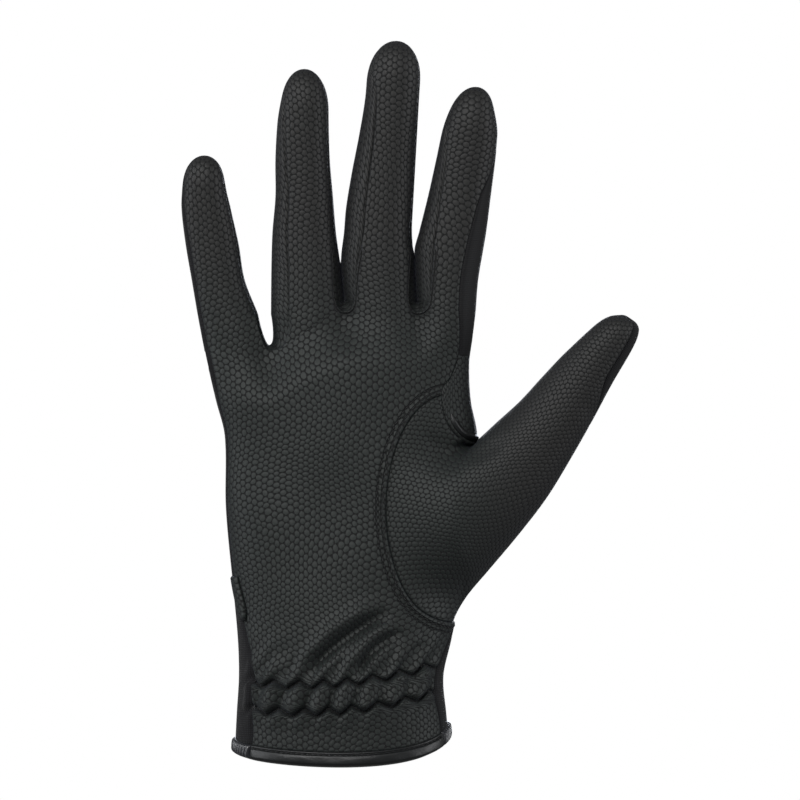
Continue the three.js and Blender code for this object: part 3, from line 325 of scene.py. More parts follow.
# %% The hand
def mound_depth(x, z):
    """Half depth of the finger roots at a place: the finger's own curve, with the web as its floor."""
    depths = []
    for k in range(4):
        mid, _, half, depth = finger_section(k, np.maximum(z, SLIT_BOTTOM[max(k - 1, 0)]))
        q = np.clip((x - mid) / np.maximum(half, 1e-6), -1, 1)
        deep = depth * (1 - np.abs(q) ** SQUARE_FINGER) ** (1 / SQUARE_FINGER)
        is_open = (q < 0) if k == 0 else (q > 0) if k == 3 else np.zeros_like(q, bool)
        floor = np.where(is_open, WEB_DEPTH * ease(1 - np.abs(q)), WEB_DEPTH)
        depths.append((deep**MOUND_CORNER + floor**MOUND_CORNER) ** (1 / MOUND_CORNER))
    which = sum((x > slit_line(k, z)).astype(int) for k in range(3))
    return np.choose(which, depths)


def web_height(x, back):
    """The height of the webs across the hand, which lie lower on its back."""
    drop = ease(np.minimum((x - SLIT_X[0]) / WIDTHS[0], (SLIT_X[2] - x) / WIDTHS[3]) + 1)
    return np.interp(x, SLIT_X, SLIT_BOTTOM) - WEB_DROP * np.where(back, drop, 0)


def body_section(z):
    up = z / PALM_HEIGHT
    left, right, front, back, square = (
        along(BODY, "up", name, up) for name in ("left", "right", "front", "back", "square")
    )
    mid, half = (left + right) / 2 * KNUCKLE_WIDTH, (right - left) / 2 * KNUCKLE_WIDTH
    return mid, half, PALM_FRONT * front, PALM_BACK * back, square


def body_point(turn, z):
    """A rounded square section that turns into the finger mounds over the last stretch."""
    mid, half, front, back, square = body_section(z)
    across, deep = square_round(turn, square)
    x = mid + half * across
    fade = ease((z - web_height(x, deep < 0)) / MOUND_FADE + 1)
    depth = np.abs(deep) * np.where(deep > 0, front, back)
    return point(x, -np.sign(deep) * mix(depth, mound_depth(x, z), fade), z)


def body_turn(x, z, back):
    mid, half = body_section(z)[:2]
    opening = np.arccos(np.clip((x - mid) / half, -1, 1))
    return np.where(back, -opening, opening)


def root_vertex(k, turn, z):
    """A finger's root beside the web, where it swells out of the hand."""
    def surface(a, b):
        mid, _, half, _ = finger_section(k, np.maximum(b, FINGER_BASE[k]))
        x = mid + half * np.cos(a)
        return point(x, -np.sign(np.sin(a)) * mound_depth(x, b), b)

    return surface(turn, z), facing(surface, turn, z)


print("hand section at mid palm:", [float(v) for v in body_section(0.5 * PALM_HEIGHT)])


# %% [markdown]
# ## Shirring and folds
# Two rows of stitching at the wrist pull the leather together, and it stands up in small slanting puffs
# between them. Above, slack leather lies in slanting folds that run up towards the thumb. Both are soft
# waves that are added along the outward direction.

# %% Gathers
GATHER_PITCH, GATHER_SLANT, FOLD_SLANT = 7.75, 0.26, 0.8
PUFF_SHIFT, PUFF_SWAY = 0.65, 0.05  # the puffs' place across the wrist, and how uneven they are
UPPER_ROW, LOWER_ROW = 20.45, 11.6  # heights of the two rows of stitches at the middle of the wrist
ROW_RISE, ROW_BOW, ROW_SWING = 0.093, 0.003, 2.9  # they rise towards the thumb, more and more steeply
PUFF_HEIGHT, ROW_CREASE, CREASE_WIDTH = 2.3, 1.1, 0.55
PUFF_RISE, OUTER_RISE = 1.9, 1.8  # how far from a row the puffs are at full height
TOP_REACH, BOTTOM_REACH = 7.5, 3.6  # how far the outer puffs run out above and below
GATHERS_FROM, GATHERS_ABOVE = 4.2, 22.0  # where all gathers end: a height, and so far above the upper row


def puff_phase(x, z):
    """Whole numbers on the middle of the puffs between the two rows."""
    sway = PUFF_SWAY * np.sin(x / 4.7 + 0.6)
    return (x + PUFF_SHIFT - GATHER_SLANT * (z - LOWER_ROW)) / GATHER_PITCH + sway


def row_lines(x):
    """The two rows of stitches: zigzags that reach up over each puff, and down below it."""
    climb = ROW_RISE * x + ROW_BOW * x**2
    rows = []
    for height, swing in ((UPPER_ROW, ROW_SWING), (LOWER_ROW, -ROW_SWING)):
        zigzag = 0.5 - np.arccos(0.97 * np.cos(2 * np.pi * puff_phase(x, height + climb))) / np.pi
        rows.append(height + climb + swing * zigzag)
    return rows


def gathers(x, z):
    """Puffs between the rows, and above and below them puffs half a pitch aside that run out; a sharp
    crease follows each row. Above the upper row the waves lean over into the folds of the palm."""
    upper, lower = row_lines(x)
    above, below = z - upper, lower - z
    phase = puff_phase(x, z)
    lean = (GATHER_SLANT - FOLD_SLANT) * np.maximum(above, 0) / GATHER_PITCH
    between = np.abs(np.cos(np.pi * phase)) ** 1.15
    aside = np.sin(np.pi * (phase + lean)) ** 2
    middle = ease(-above / PUFF_RISE) * ease(-below / PUFF_RISE) * (0.05 + 0.95 * between)
    top = ease(above / OUTER_RISE) * np.exp(-np.maximum(above, 0) / TOP_REACH) * aside
    bottom = ease(below / OUTER_RISE) * np.exp(-np.maximum(below, 0) / BOTTOM_REACH) * (0.2 + 0.8 * aside)
    crease = np.exp(-((above / CREASE_WIDTH) ** 2)) + np.exp(-((below / CREASE_WIDTH) ** 2))
    window = ease((z - GATHERS_FROM) / 3) * ease((UPPER_ROW + GATHERS_ABOVE - z) / 14)
    return window * (PUFF_HEIGHT * (middle + 0.8 * top + 0.7 * bottom) - ROW_CREASE * crease)


print("gathers across the wrist:", round(60 / GATHER_PITCH))


# %% [markdown]
# A fold is a straight valley with a slight bow and a rounded ridge beside it. Two large ones and three faint
# ones are named here by their two ends, as shares of the knuckles' width and of the palm's height.

# %% Folds and the palm's relief
FOLDS = table(
    "from_x from_z to_x to_z depth width ridge",
    (-0.118, 0.178, 0.145, 0.304, 2.5, 2.2, 0.8),
    (0.055, 0.176, 0.2, 0.262, 1.9, 1.8, 0.7),
    (-0.24, 0.19, -0.02, 0.26, 0.35, 2.4, 0.5),
    (0.2, 0.176, 0.3, 0.235, 0.45, 1.5, 0.6),
    (-0.02, 0.262, 0.13, 0.35, 0.25, 2.6, 0.4),
)
FOLD_BOW, RIDGE_ASIDE, RIDGE_WIDTH = 1.2, 2.0, 1.3  # the last two are in widths of the valley
DENTS = ((0.22, 9.1, 14.3, 0), (0.16, 6.2, -8.7, 1.3), (0.1, 11, 4.6, 0))  # height, two lengths, start
CALM_FROM, CALM_OVER = 34, 20  # the dents begin above the folds and end below the webs


def folds(x, z):
    """For each fold, a dark valley along a line and a rounded ridge on its upper side."""
    total = np.zeros(np.broadcast(x, z).shape)
    for i in range(len(FOLDS["depth"])):
        start = np.array([FOLDS["from_x"][i] * KNUCKLE_WIDTH, FOLDS["from_z"][i] * PALM_HEIGHT])
        run = np.array([FOLDS["to_x"][i] * KNUCKLE_WIDTH, FOLDS["to_z"][i] * PALM_HEIGHT]) - start
        length = np.hypot(*run)
        t = ((x - start[0]) * run[0] + (z - start[1]) * run[1]) / length**2
        bow = FOLD_BOW * np.sin(np.pi * np.clip(t, 0, 1))
        off = ((x - start[0]) * run[1] - (z - start[1]) * run[0]) / length + bow
        off = off / FOLDS["width"][i]
        ends = ease(t / 0.35 + 0.4) * ease((1 - t) / 0.35 + 0.4)
        ridge = FOLDS["ridge"][i] * np.exp(-(((off + RIDGE_ASIDE) / RIDGE_WIDTH) ** 2))
        total += FOLDS["depth"][i] * ends * (ridge - np.exp(-(off**2)))
    return total


def soft_dents(x, z):
    """The slack of soft leather over a hand: a few long, shallow waves."""
    return sum(height * np.sin(x / across + z / up + start) for height, across, up, start in DENTS)


def hand_lift(turn, z):
    """What shirring and folds add to the palm, nothing on the back of the hand."""
    p = body_point(turn, z)
    x = p[..., 0]
    puckered = ease((np.sin(turn) - 0.3) / 0.25)
    front = ease((np.sin(turn) - 0.1) / 0.3)
    calm = ease((z - CALM_FROM) / CALM_OVER) * ease((web_height(x, False) - z) / CALM_OVER)
    return puckered * gathers(x, z) + front * (folds(x, z) + calm * soft_dents(x, z))


def body_vertex(turn, z):
    turn, z = np.broadcast_arrays(turn, z)
    out = facing(body_point, turn, z)
    return body_point(turn, z) + out * hand_lift(turn, z)[..., None], out


print("folds:", len(FOLDS["depth"]), "and the deepest is", FOLDS["depth"].max(), "mm")


# %% [markdown]
# ## From a sheet of points to a piece of leather
# A piece is a grid of points on the outside of the glove with the outward direction at each. The sheet
# gets its thickness by a second, coarser layer inside, and its edges are rounded off like leather that
# is turned in at a seam. These first helpers find the faces of a grid, its rim and how far a point is from
# it.

# %% Faces, rims and distances
def object_from(name, vertices, faces):
    """A mesh object at the origin, in metres."""
    mesh = bpy.data.meshes.new(name)
    mesh.from_pydata(vertices * 0.001, [], faces)
    mesh.validate()
    mesh.polygons.foreach_set("use_smooth", np.ones(len(mesh.polygons), bool))
    obj = bpy.data.objects.new(name, mesh)
    bpy.context.collection.objects.link(obj)
    return obj


def grid_quads(ids):
    return np.stack([ids[:-1, :-1], ids[:-1, 1:], ids[1:, 1:], ids[1:, :-1]], -1).reshape(-1, 4)


def directed_edges(quads):
    a, b = quads.reshape(-1), np.roll(quads, -1, axis=1).reshape(-1)
    return np.stack([a[a != b], b[a != b]], 1)


def rim_of(quads, count):
    """The edges that only one face has, in the direction in which that face runs."""
    edges = directed_edges(quads)
    forward, backward = edges[:, 0] * count + edges[:, 1], edges[:, 1] * count + edges[:, 0]
    return edges[~np.isin(forward, backward)]


def faces_list(quads):
    """Quads as lists, with a quad that has two points in one place made a triangle."""
    nexts = np.roll(quads, -1, axis=1)
    flat = quads == nexts
    whole = quads[~flat.any(1)]
    folded = quads[flat.sum(1) == 1]
    keep = ~(folded == np.roll(folded, -1, axis=1))
    return whole.tolist() + folded[keep].reshape(-1, 3).tolist()


def edge_distance(points, ids, sides):
    """Distance from each grid point to the named sides of its grid, measured along rows and columns."""
    p = points[ids]
    across = np.linalg.norm(np.diff(p, axis=1), axis=2)
    upward = np.linalg.norm(np.diff(p, axis=0), axis=2)
    zero_col, zero_row = np.zeros((p.shape[0], 1)), np.zeros((1, p.shape[1]))
    far = {
        "left": np.hstack([zero_col, np.cumsum(across, 1)]),
        "right": np.hstack([np.cumsum(across[:, ::-1], 1)[:, ::-1], zero_col]),
        "first": np.vstack([zero_row, np.cumsum(upward, 0)]),
        "last": np.vstack([np.cumsum(upward[::-1], 0)[::-1], zero_row]),
    }
    return np.min([far[side] for side in sides], axis=0)


def set_vectors(obj, name, values):
    """A vector at each point of a mesh, in millimetres, that a material can read by its name."""
    layer = obj.data.attributes.new(name, "FLOAT_VECTOR", "POINT")
    layer.data.foreach_set("vector", values.astype(np.float32).ravel())


print("one square has", len(directed_edges(grid_quads(np.arange(4).reshape(2, 2)))), "directed edges")


# %% [markdown]
# The outer edges of two neighbours nearly meet. Below them the turned-in leather crosses over, so that no
# light comes through a seam. Two vectors go along with each point: its place on the flat leather, for the
# grain, and its distances to sewn lines, for the pressed grooves.

# %% The sheet maker
STRIDE = 3  # one inner point for this many outer ones
EDGE_ROLL, EDGE_RADIUS, LIFT_FADE = 0.55, 1.1, 0.8
SEAM_GAP, SEAM_ALLOWANCE = 0.03, 0.5
FAR_AWAY = 9.0


def leather_sheet(name, points, out, grids, distance, flat, trim=None, lift=0.0, wall=WALL, base_lift=0.0):
    """One closed piece: outer layer, inner layer and the rim between them.
    points, out, distance, flat, trim and lift have one row or number for each point, and grids hold
    point numbers. flat is the place on the unsewn leather, trim the distances to three sewn lines."""
    quads = np.vstack([grid_quads(ids) for ids in grids])
    inner_quads = np.vstack([grid_quads(ids[::STRIDE, ::STRIDE]) for ids in grids])
    a, b, c = (points[quads[:, i]] for i in (0, 1, 2))
    if np.sum(np.cross(b - a, c - a) * out[quads[:, 0]]) < 0:
        quads, inner_quads = quads[:, ::-1], inner_quads[:, ::-1]
    rim = rim_of(quads, len(points))
    aside = unit(np.cross(out[rim].transpose(1, 0, 2), points[rim[:, 1]] - points[rim[:, 0]]))
    pull = np.zeros_like(points)
    np.add.at(pull, rim[:, 0], aside[0])
    np.add.at(pull, rim[:, 1], aside[1])
    share = pull / np.maximum(0.5, np.sum(pull**2, axis=1) / 2)[:, None]
    base = points + share * SEAM_GAP + out * base_lift
    edge = np.clip(1 - distance / EDGE_RADIUS, 0, 1)
    roll = EDGE_ROLL * (1 - np.sqrt(1 - edge**2))
    outer = base + out * (lift * ease(distance / LIFT_FADE) - roll)[:, None]
    owner = np.arange(len(points))
    for ids in grids:
        for side in (ids[0], ids[-1], ids[:, 0], ids[:, -1]):
            nearest = np.round(np.arange(len(side)) / STRIDE).astype(int) * STRIDE
            owner[side] = side[np.minimum(nearest, len(side) - 1)]
    used, inner_quads = np.unique(inner_quads, return_inverse=True)
    inner_quads = inner_quads.reshape(-1, 4)
    inner_id = np.zeros(len(points), int)
    inner_id[used] = len(points) + np.arange(len(used))
    inner = (base - share * (SEAM_GAP + SEAM_ALLOWANCE) - out * wall)[used]
    own = inner_id[owner[rim]]
    sides = np.stack([rim[:, 1], rim[:, 0], own[:, 0], own[:, 1]], 1)
    everything = np.vstack([quads, (inner_quads + len(points))[:, ::-1], sides])
    obj = object_from(name, np.vstack([outer, inner]), faces_list(everything))
    trim = np.full_like(points, FAR_AWAY) if trim is None else trim
    flat = np.column_stack([flat, np.zeros(len(flat))])
    for layer, values in (("pattern", flat), ("trim", trim)):
        set_vectors(obj, layer, np.vstack([values, values[used]]))
    return obj


print("inner points for 900 outer ones:", 900 // STRIDE**2)


# %% [markdown]
# A finished piece hides the CAD node that it stands for, rides on the glove and says which finish it takes.

# %% Handing a piece over
def report(obj):
    size = np.array(obj.dimensions) * 1000
    print(f"{obj.name}: {len(obj.data.polygons)} faces, {size[0]:.0f} x {size[1]:.0f} x {size[2]:.0f} mm")


def dress(obj, node, slot):
    """The piece stands for its CAD node, rides on the glove and takes its finish from the slot."""
    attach(obj, "root")
    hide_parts(node)
    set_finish(obj, slot)
    report(obj)
    return obj


def cut_sheet(obj):
    """Reads the flat places that a panel's pattern attribute holds; nothing is done with them."""
    layer = obj.data.attributes["pattern"].data
    places = np.empty(3 * len(layer))
    layer.foreach_get("vector", places)


print("sheets are closed walls of", WALL, "mm")


# %% [markdown]
# ## Strips between the fingers
# A strip runs down the inner side of one finger, round the bottom of the slit and up the next finger. Its
# long edges are the seams of the palm and of the back, so all three take the seam from this one function.

# %% Strip surface
ARCH_ROUND = 0.7  # below 1 the strip's lowest line is flatter between its two seams


def strip_point(k, t, w):
    """t from -1 to 1 runs round the slit's bottom from the left finger to the right one, w from the
    front seam to the back seam: a half ellipse whose lowest point rises at mid depth."""
    def at_side(f, side):
        turn = mix(
            finger_seam(f, side, False, SLIT_CENTRE[k]), finger_seam(f, side, True, SLIT_CENTRE[k]), w
        )
        return finger_point(f, turn, SLIT_CENTRE[k])

    ends = [at_side(k, 1), at_side(k + 1, -1)]
    left_side = (t < 0)[..., None]
    here = np.where(left_side, ends[0], ends[1])
    other = np.where(left_side, ends[1], ends[0])
    bend = t * np.pi / 2
    low = SLITS["round"][k] * WIDTHS[1]
    arch = np.maximum(np.sin(np.pi * w), 0) ** ARCH_ROUND
    drop = mix(mix(low, low + WEB_DROP, w), SLITS["middle"][k] * WIDTHS[1], arch)
    z = SLIT_CENTRE[k] - drop * np.cos(bend)
    web = mix(-WEB_DEPTH, WEB_DEPTH, w)
    level = mix((here[..., 1] + other[..., 1]) / 2, web, np.abs(2 * w - 1))
    y = mix(level, here[..., 1], np.abs(np.sin(bend)))
    x = slit_line(k, z) + np.abs(here[..., 0] - slit_line(k, SLIT_CENTRE[k])) * np.sin(bend)
    return point(x, y, z)


def strip_vertex(k, t, w):
    """The strip's points with their outward direction: round the slit below 1, along the fingers above."""
    t, w = np.broadcast_arrays(np.asarray(t, float), np.asarray(w, float))
    low = np.clip(t, -1, 1)
    step = 0.01
    run = strip_point(k, low + step, w) - strip_point(k, low - step, w)
    across = strip_point(k, low, np.minimum(w + step, 1)) - strip_point(k, low, np.maximum(w - step, 0))
    p, n = strip_point(k, low, w), unit(np.cross(run, across))
    for owner, side, chosen in ((k, 1, t <= -1), (k + 1, -1, t >= 1)):
        z = mix(SLIT_CENTRE[k], FINGER_TIP[owner], np.clip(np.abs(t) - 1, 0, 1))
        turn = mix(finger_seam(owner, side, False, z), finger_seam(owner, side, True, z), w)
        q, m = finger_vertex(owner, turn, z)
        p, n = np.where(chosen[..., None], q, p), np.where(chosen[..., None], m, n)
    return p, n


print("slit bottoms at", SLIT_BOTTOM.round(1), "mm")


# %% [markdown]
# ## Palm and back as comb-shaped sheets
# The palm and the four finger fronts are cut from one piece of leather, like a comb. The grid is one
# block for the hand and one for each finger, and a finger's block starts on the hand's top row.

# %% Finger blocks
def finger_edge(k, side, back, t):
    """One edge of a finger's front or back at places t: 0 at the web, 1 at the round's end, 2 at the tip."""
    slit = k - 1 if side < 0 else k
    if 0 <= slit < 3:
        return strip_vertex(slit, t if side < 0 else -t, np.full_like(t, 1.0 if back else 0.0))
    web = 0 if k == 0 else 2
    z = mix(SLIT_BOTTOM[web], SLIT_CENTRE[web], np.minimum(t, 1))
    z = np.where(t > 1, mix(SLIT_CENTRE[web], FINGER_TIP[k], t - 1), z)
    return finger_vertex(k, finger_seam(k, side, back and k == 3, z), z)


def finger_block(k, back, t, columns):
    """Points and directions of a finger's front or back, rows by columns."""
    (p0, n0), (p1, n1) = finger_edge(k, -1, back, t), finger_edge(k, 1, back, t)

    def turn_at(p):
        mid, y, half, _ = finger_section(k, np.maximum(p[:, 2], FINGER_BASE[k]))
        opening = np.arccos(np.clip((p[:, 0] - mid) / np.maximum(half, 1e-6), -1, 1))
        return np.where(p[:, 1] < y, opening, -opening)

    start, end = turn_at(p0), turn_at(p1)
    start[-1], end[-1] = np.pi, 0
    if not back:
        start, end = np.abs(start), np.abs(end)
    else:
        start = np.where(start > 0, start, start + 2 * np.pi)
        end = end + 2 * np.pi
    v = np.arange(columns + 1) / columns
    z = mix(p0[:, 2:], p1[:, 2:], ease(v))
    turn = mix(start[:, None], end[:, None], v)
    if not (back and k == 0):
        even = mix(np.cos(start)[:, None], np.cos(end)[:, None], v)
        opening = np.arccos(np.clip(mix(even, np.cos(turn), np.minimum(t, 1)[:, None]), -1, 1))
        turn = np.where(t[:, None] < 1, -opening if back else opening, turn)
    p, n = root_vertex(k, turn, z)
    q, m = finger_vertex(k, turn, z)
    free = (t >= 1)[:, None, None]
    p, n = np.where(free, q, p), np.where(free, m, n)
    p[:, 0], n[:, 0], p[:, -1], n[:, -1] = p0, n0, p1, n1
    return p, n


print("a finger front's edge at its web:", finger_edge(1, 1, False, np.zeros(1))[0].round(1)[0].tolist())


# %% [markdown]
# The hand's own grid runs between seams: the little finger's side on the left, and on the right, from the
# hem up, the wrist's side, the thumb's seam and the index side. The thumb's seam is half an ellipse that
# the palm and the thumb both follow.

# %% Seams of the hand
BAY_START, BAY_MIDDLE, BAY_SIDE = np.radians(7), 0.5442, 0.3843  # shares of the palm's height and width
BAY_RUN_OUT = 0.8  # from this share of the seam on it runs out to the hand's side
SEAM_JOIN = 6.0  # the index side's seam leaves the thumb's seam over this height


def bay_place(t, back):
    """The thumb's seam in the hand: half an ellipse, t 0 at its top and 1 at the wrist's side."""
    turn = mix(BAY_START, np.pi, t)
    z = BAY_MIDDLE * PALM_HEIGHT + BAY_HEIGHT / 2 * np.cos(turn)
    mid, half = body_section(z)[:2]
    reach = mix(BAY_SIDE * KNUCKLE_WIDTH, mid + half, ease((t - BAY_RUN_OUT) / (1 - BAY_RUN_OUT)))
    x = reach - np.where(back, BACK_BAY_WIDTH, BAY_WIDTH) * np.sin(turn)
    return body_turn(x, z, back), z


BAY_TOP, BAY_END = bay_place(0.0, False)[1], bay_place(1.0, False)[1]
CROTCH_Z = BAY_TOP - CROTCH_DROP


def hem_line(turn):
    """The height of the hem's lower edge: a tilted ring that hangs lower on the palm side."""
    tilt = np.where(np.sin(turn) > 0, HEM_FRONT_TILT, HEM_BACK_TILT)
    side = HEM_SIDE_TILT - HEM_SKEW * np.maximum(0, np.sin(turn))
    return side * np.cos(turn) - tilt * np.sin(turn)


def left_seam(z):
    return np.pi - np.radians(along(LEFT_SEAM, "up", "turn", z / PALM_HEIGHT))


def wrist_seam(z):
    return np.radians(along(WRIST_SEAM, "up", "turn", z / PALM_HEIGHT))


def side_seam(z, back):
    up = np.clip(z / PALM_HEIGHT, SIDE_SEAM["up"][0], 1)
    turn = np.radians(along(SIDE_SEAM, "up", "back" if back else "front", up))
    first_turn, first_z = bay_place(0.0, back)
    return mix(first_turn, -turn if back else turn, ease((z - first_z) / SEAM_JOIN))


print("the thumb's seam runs from", round(float(BAY_END), 1), "to", round(float(BAY_TOP), 1), "mm")


# %% [markdown]
# Rows are spread between the left seam and the right one at every height. Near the webs the columns drift to
# where the fingers' columns begin, and the rows rise or fall to meet them, so that the blocks share points.

# %% Hand block
SETTLE_FROM = 2.1  # above this place the columns drift to the fingers' columns
EVENING = 0.4  # how far the columns lean to equal turns instead of equal widths


def hand_block(back, at, shares, tops):
    """The hand's grid: at 0 is the hem, 1 the bottom of the thumb's seam, 2 its top, 3 the webs, where its
    columns run into the fingers' columns at those shares of the width and at those heights."""
    wrist, bay, knuckles = np.clip(at, 0, 1), np.clip(at - 1, 0, 1), np.clip(at - 2, 0, 1)
    hem_left, hem_right = hem_line(np.pi) + HEM_HEIGHT, hem_line(0) + HEM_HEIGHT
    left = mix(mix(mix(hem_left, BAY_END, wrist), BAY_TOP, bay), SLIT_BOTTOM[0], knuckles)
    right = mix(hem_right, BAY_END, wrist)
    bay_turn, bay_z = bay_place(1 - bay, back)
    top = mix(BAY_TOP, SLIT_BOTTOM[2], knuckles)
    end = np.where(at <= 1, wrist_seam(right), np.where(at <= 2, bay_turn, side_seam(top, back)))
    right = np.where(at <= 1, right, np.where(at <= 2, bay_z, top))
    start = left_seam(left)[:, None]
    end = (end + (2 * np.pi if back else 0))[:, None]
    even = np.linspace(0, 1, len(shares))
    settle = ease((at - SETTLE_FROM) / (3 - SETTLE_FROM))[:, None]
    share = mix(even, shares, settle)
    turn = mix(start, end, share)
    if not back:
        across = mix(np.cos(start), np.cos(end), share)
        inside = np.arccos(np.clip(mix(across, np.cos(turn), EVENING * (1 - settle)), -1, 1))
        turn = np.where((share > 0) & (share < 1), inside, turn)
    z = mix(left[:, None], right[:, None], share)
    level = mix(SLIT_BOTTOM[0], SLIT_BOTTOM[2], share)
    high = z + (tops - level) * ease(knuckles)[:, None]
    z = np.where(at[:, None] > 2, high, z)
    z = np.where(at[:, None] < 1, mix(hem_line(turn) + HEM_HEIGHT, BAY_END, wrist[:, None]), z)
    return body_vertex(turn, z)


print("hem heights at the sides:", [round(float(hem_line(turn) + HEM_HEIGHT), 2) for turn in (0, np.pi)])


# %% [markdown]
# The blocks are joined by giving shared points one number. Two more things are worked out for each point: its
# place on the flat leather, so that the grain doesn't stretch, and its distance to the nearest side seam.

# %% The comb
TIP_CROWDING = 1.35  # rows lie closer together towards a fingertip
HAND_FADE, FINGER_FADE = 0.3, 0.25  # shares of a block over which flat widths fade beside the webs
SMOOTH_TIP = 5.0  # below a fingertip, the stretch without a rolled edge


def comb(back, columns, hand_rows, round_rows, free_rows):
    """All the points of a comb with their outward directions, and its grids of point numbers."""
    up = np.arange(1, free_rows + 1) / free_rows
    t = np.r_[np.linspace(0, 1, round_rows + 1), 2 - (1 - up) ** TIP_CROWDING]
    blocks = [finger_block(k, back, t, columns) for k in range(4)]
    first_p = np.vstack([b[0][0][(1 if k else 0):] for k, b in enumerate(blocks)])
    first_n = np.vstack([b[1][0][(1 if k else 0):] for k, b in enumerate(blocks)])
    if back:
        behind = (first_p[:, 1] >= 0) | (first_p[:, 0] > 0)
        place = body_turn(first_p[:, 0], first_p[:, 2], behind) + 2 * np.pi * behind
    else:
        place = first_p[:, 0]
    shares = (place - place[0]) / (place[-1] - place[0])
    at = np.linspace(0, 3, hand_rows + 1)[:-1]
    hand_p, hand_n = hand_block(back, at, shares, first_p[:, 2])
    width = 4 * columns + 1
    points = [hand_p.reshape(-1, 3), first_p]
    outs = [hand_n.reshape(-1, 3), first_n]
    grids = [np.arange((hand_rows + 1) * width).reshape(hand_rows + 1, width)]
    count = grids[0].size
    for k, (p, n) in enumerate(blocks):
        rows = len(t) - 2
        ids = np.empty((len(t), columns + 1), int)
        ids[0] = grids[0][-1, k * columns : (k + 1) * columns + 1]
        ids[1:-1] = count + np.arange(rows * (columns + 1)).reshape(rows, -1)
        ids[-1] = count + rows * (columns + 1)
        count = ids[-1, 0] + 1
        points += [p[1:-1].reshape(-1, 3), p[-1, :1]]
        outs += [n[1:-1].reshape(-1, 3), n[-1, :1]]
        grids.append(ids)
    return np.vstack(points), unit(np.vstack(outs)), grids


def lay_flat(points, grids):
    """Each point's place on the flat leather in millimetres: its height, and its distance round from the
    middle of its row, which fades to the plain width beside the webs so that the blocks join."""
    flat = points[:, [0, 2]].copy()
    for i, ids in enumerate(grids):
        p = points[ids]
        steps = np.linalg.norm(np.diff(p, axis=1), axis=2)
        arc = np.hstack([np.zeros((len(ids), 1)), np.cumsum(steps, 1)])
        mid = ids.shape[1] // 2
        arc = arc - arc[:, mid : mid + 1] + p[:, mid : mid + 1, 0]
        far = np.linspace(0, 1, len(ids))[:, None]
        fade = ease((1 - far) / HAND_FADE) if i == 0 else ease(far / FINGER_FADE)
        flat[ids, 0] = mix(p[..., 0], arc, fade)
        if i:
            climb = np.r_[0, np.cumsum(np.linalg.norm(np.diff(p[:, mid], axis=0), axis=1))]
            flat[ids, 1] = p[..., 2] + (climb + p[0, mid, 2] - p[:, mid, 2])[:, None]
    return flat


def comb_distance(points, grids):
    """Distance to the seams along both sides of the hand and of each finger. The tips count as far from
    the seam, because there the leather is stretched smooth."""
    far = np.full(len(points), np.inf)
    for i, ids in enumerate(grids):
        near = edge_distance(points, ids, ("left", "right"))
        if i:
            below = points[ids[-1, 0], 2] - points[ids][..., 2]
            near = near + EDGE_RADIUS * ease(1.2 - below / SMOOTH_TIP)
        np.minimum.at(far, ids.ravel(), near.ravel())
    return far


print("a comb's four fingers stand", np.diff(FINGER_X).round(1), "mm apart")


# %% [markdown]
# The palm is embossed synthetic leather, the back a stretch knit. Their grids come from the comb above, and
# three things are added to the palm: the topstitched seam of the thumb stands up as a low ridge with the
# stitches pressed into it, the bottoms of the slits have a rolled rim, and the shirring's two rows are
# creased. The material reads the distances to these lines, so that the grooves are sharper than any grid.

# %% Sewn lines
TOPSTITCH = (1.55, 3.2)  # distances of the two rows of stitches from the thumb's seam
RIM_WIDTH, RIM_TOP = 1.1, 158.0  # the rolled rim round the bottom of a slit, and how high it runs
RIM_AROUND, RIM_FAR = 1.3, 2.3  # how far round the slit the rim is followed, and how wide it counts


def line_distance(points, line):
    """Distance from each point to the nearest of a line's straight pieces."""
    start, run = line[:-1], np.diff(line, axis=0)
    t = np.einsum("ijk,jk->ij", points[:, None] - start, run) / np.sum(run**2, axis=1)
    nearest = start + np.clip(t, 0, 1)[..., None] * run
    return np.linalg.norm(points[:, None] - nearest, axis=2).min(axis=1)


def rim_distance(points):
    """Distance to the slits' front seams, shifted so that a rim's outer groove takes the number of the
    first row of topstitching."""
    t = np.linspace(-RIM_AROUND, RIM_AROUND, 60)
    rims = [line_distance(points, strip_vertex(k, t, np.zeros_like(t))[0]) for k in (1, 2)]
    away = np.min(rims, axis=0) - RIM_WIDTH + TOPSTITCH[0] + 3 * ease((points[:, 2] - RIM_TOP) / 8)
    return np.where(away < RIM_FAR, away, FAR_AWAY)


def sewn_lines(points):
    """Distances to the thumb's seam or a slit's rim and, with a sign, to the two rows of shirring."""
    seam = body_vertex(*bay_place(np.linspace(0, 1, 90), False))[0]
    x, z, step = points[:, 0], points[:, 2], 0.05
    rows, after, before = row_lines(x), row_lines(x + step), row_lines(x - step)
    to_row = [
        (z - row) / np.hypot(1, (b - a) / (2 * step)) for row, a, b in zip(rows, before, after)
    ]
    on_palm = (points[:, 1] < 0) & (z < 40)
    first = np.minimum(line_distance(points, seam), rim_distance(points))
    return np.stack([first, *(np.where(on_palm, d, FAR_AWAY) for d in to_row)], -1)


def seam_ridge(distance):
    """The low ridge of turned-in leather beside a seam, highest 1 mm from it."""
    return 0.5 * np.exp(-(((distance - 1.0) / 0.8) ** 2))


print("the topstitched ridge at its two rows:", seam_ridge(np.array(TOPSTITCH)).round(2), "mm")


# %% [markdown]
# With the surfaces, the seams and the sewn lines at hand, the two large pieces are only a few lines each. The
# embossed palm is worked finer than the plain back.

# %% Palm and back of the hand
PALM_GRID = (36, 198, 12, 108)  # columns across a finger; rows on the hand, round the slits and on a finger
BACK_GRID = (24, 132, 9, 72)

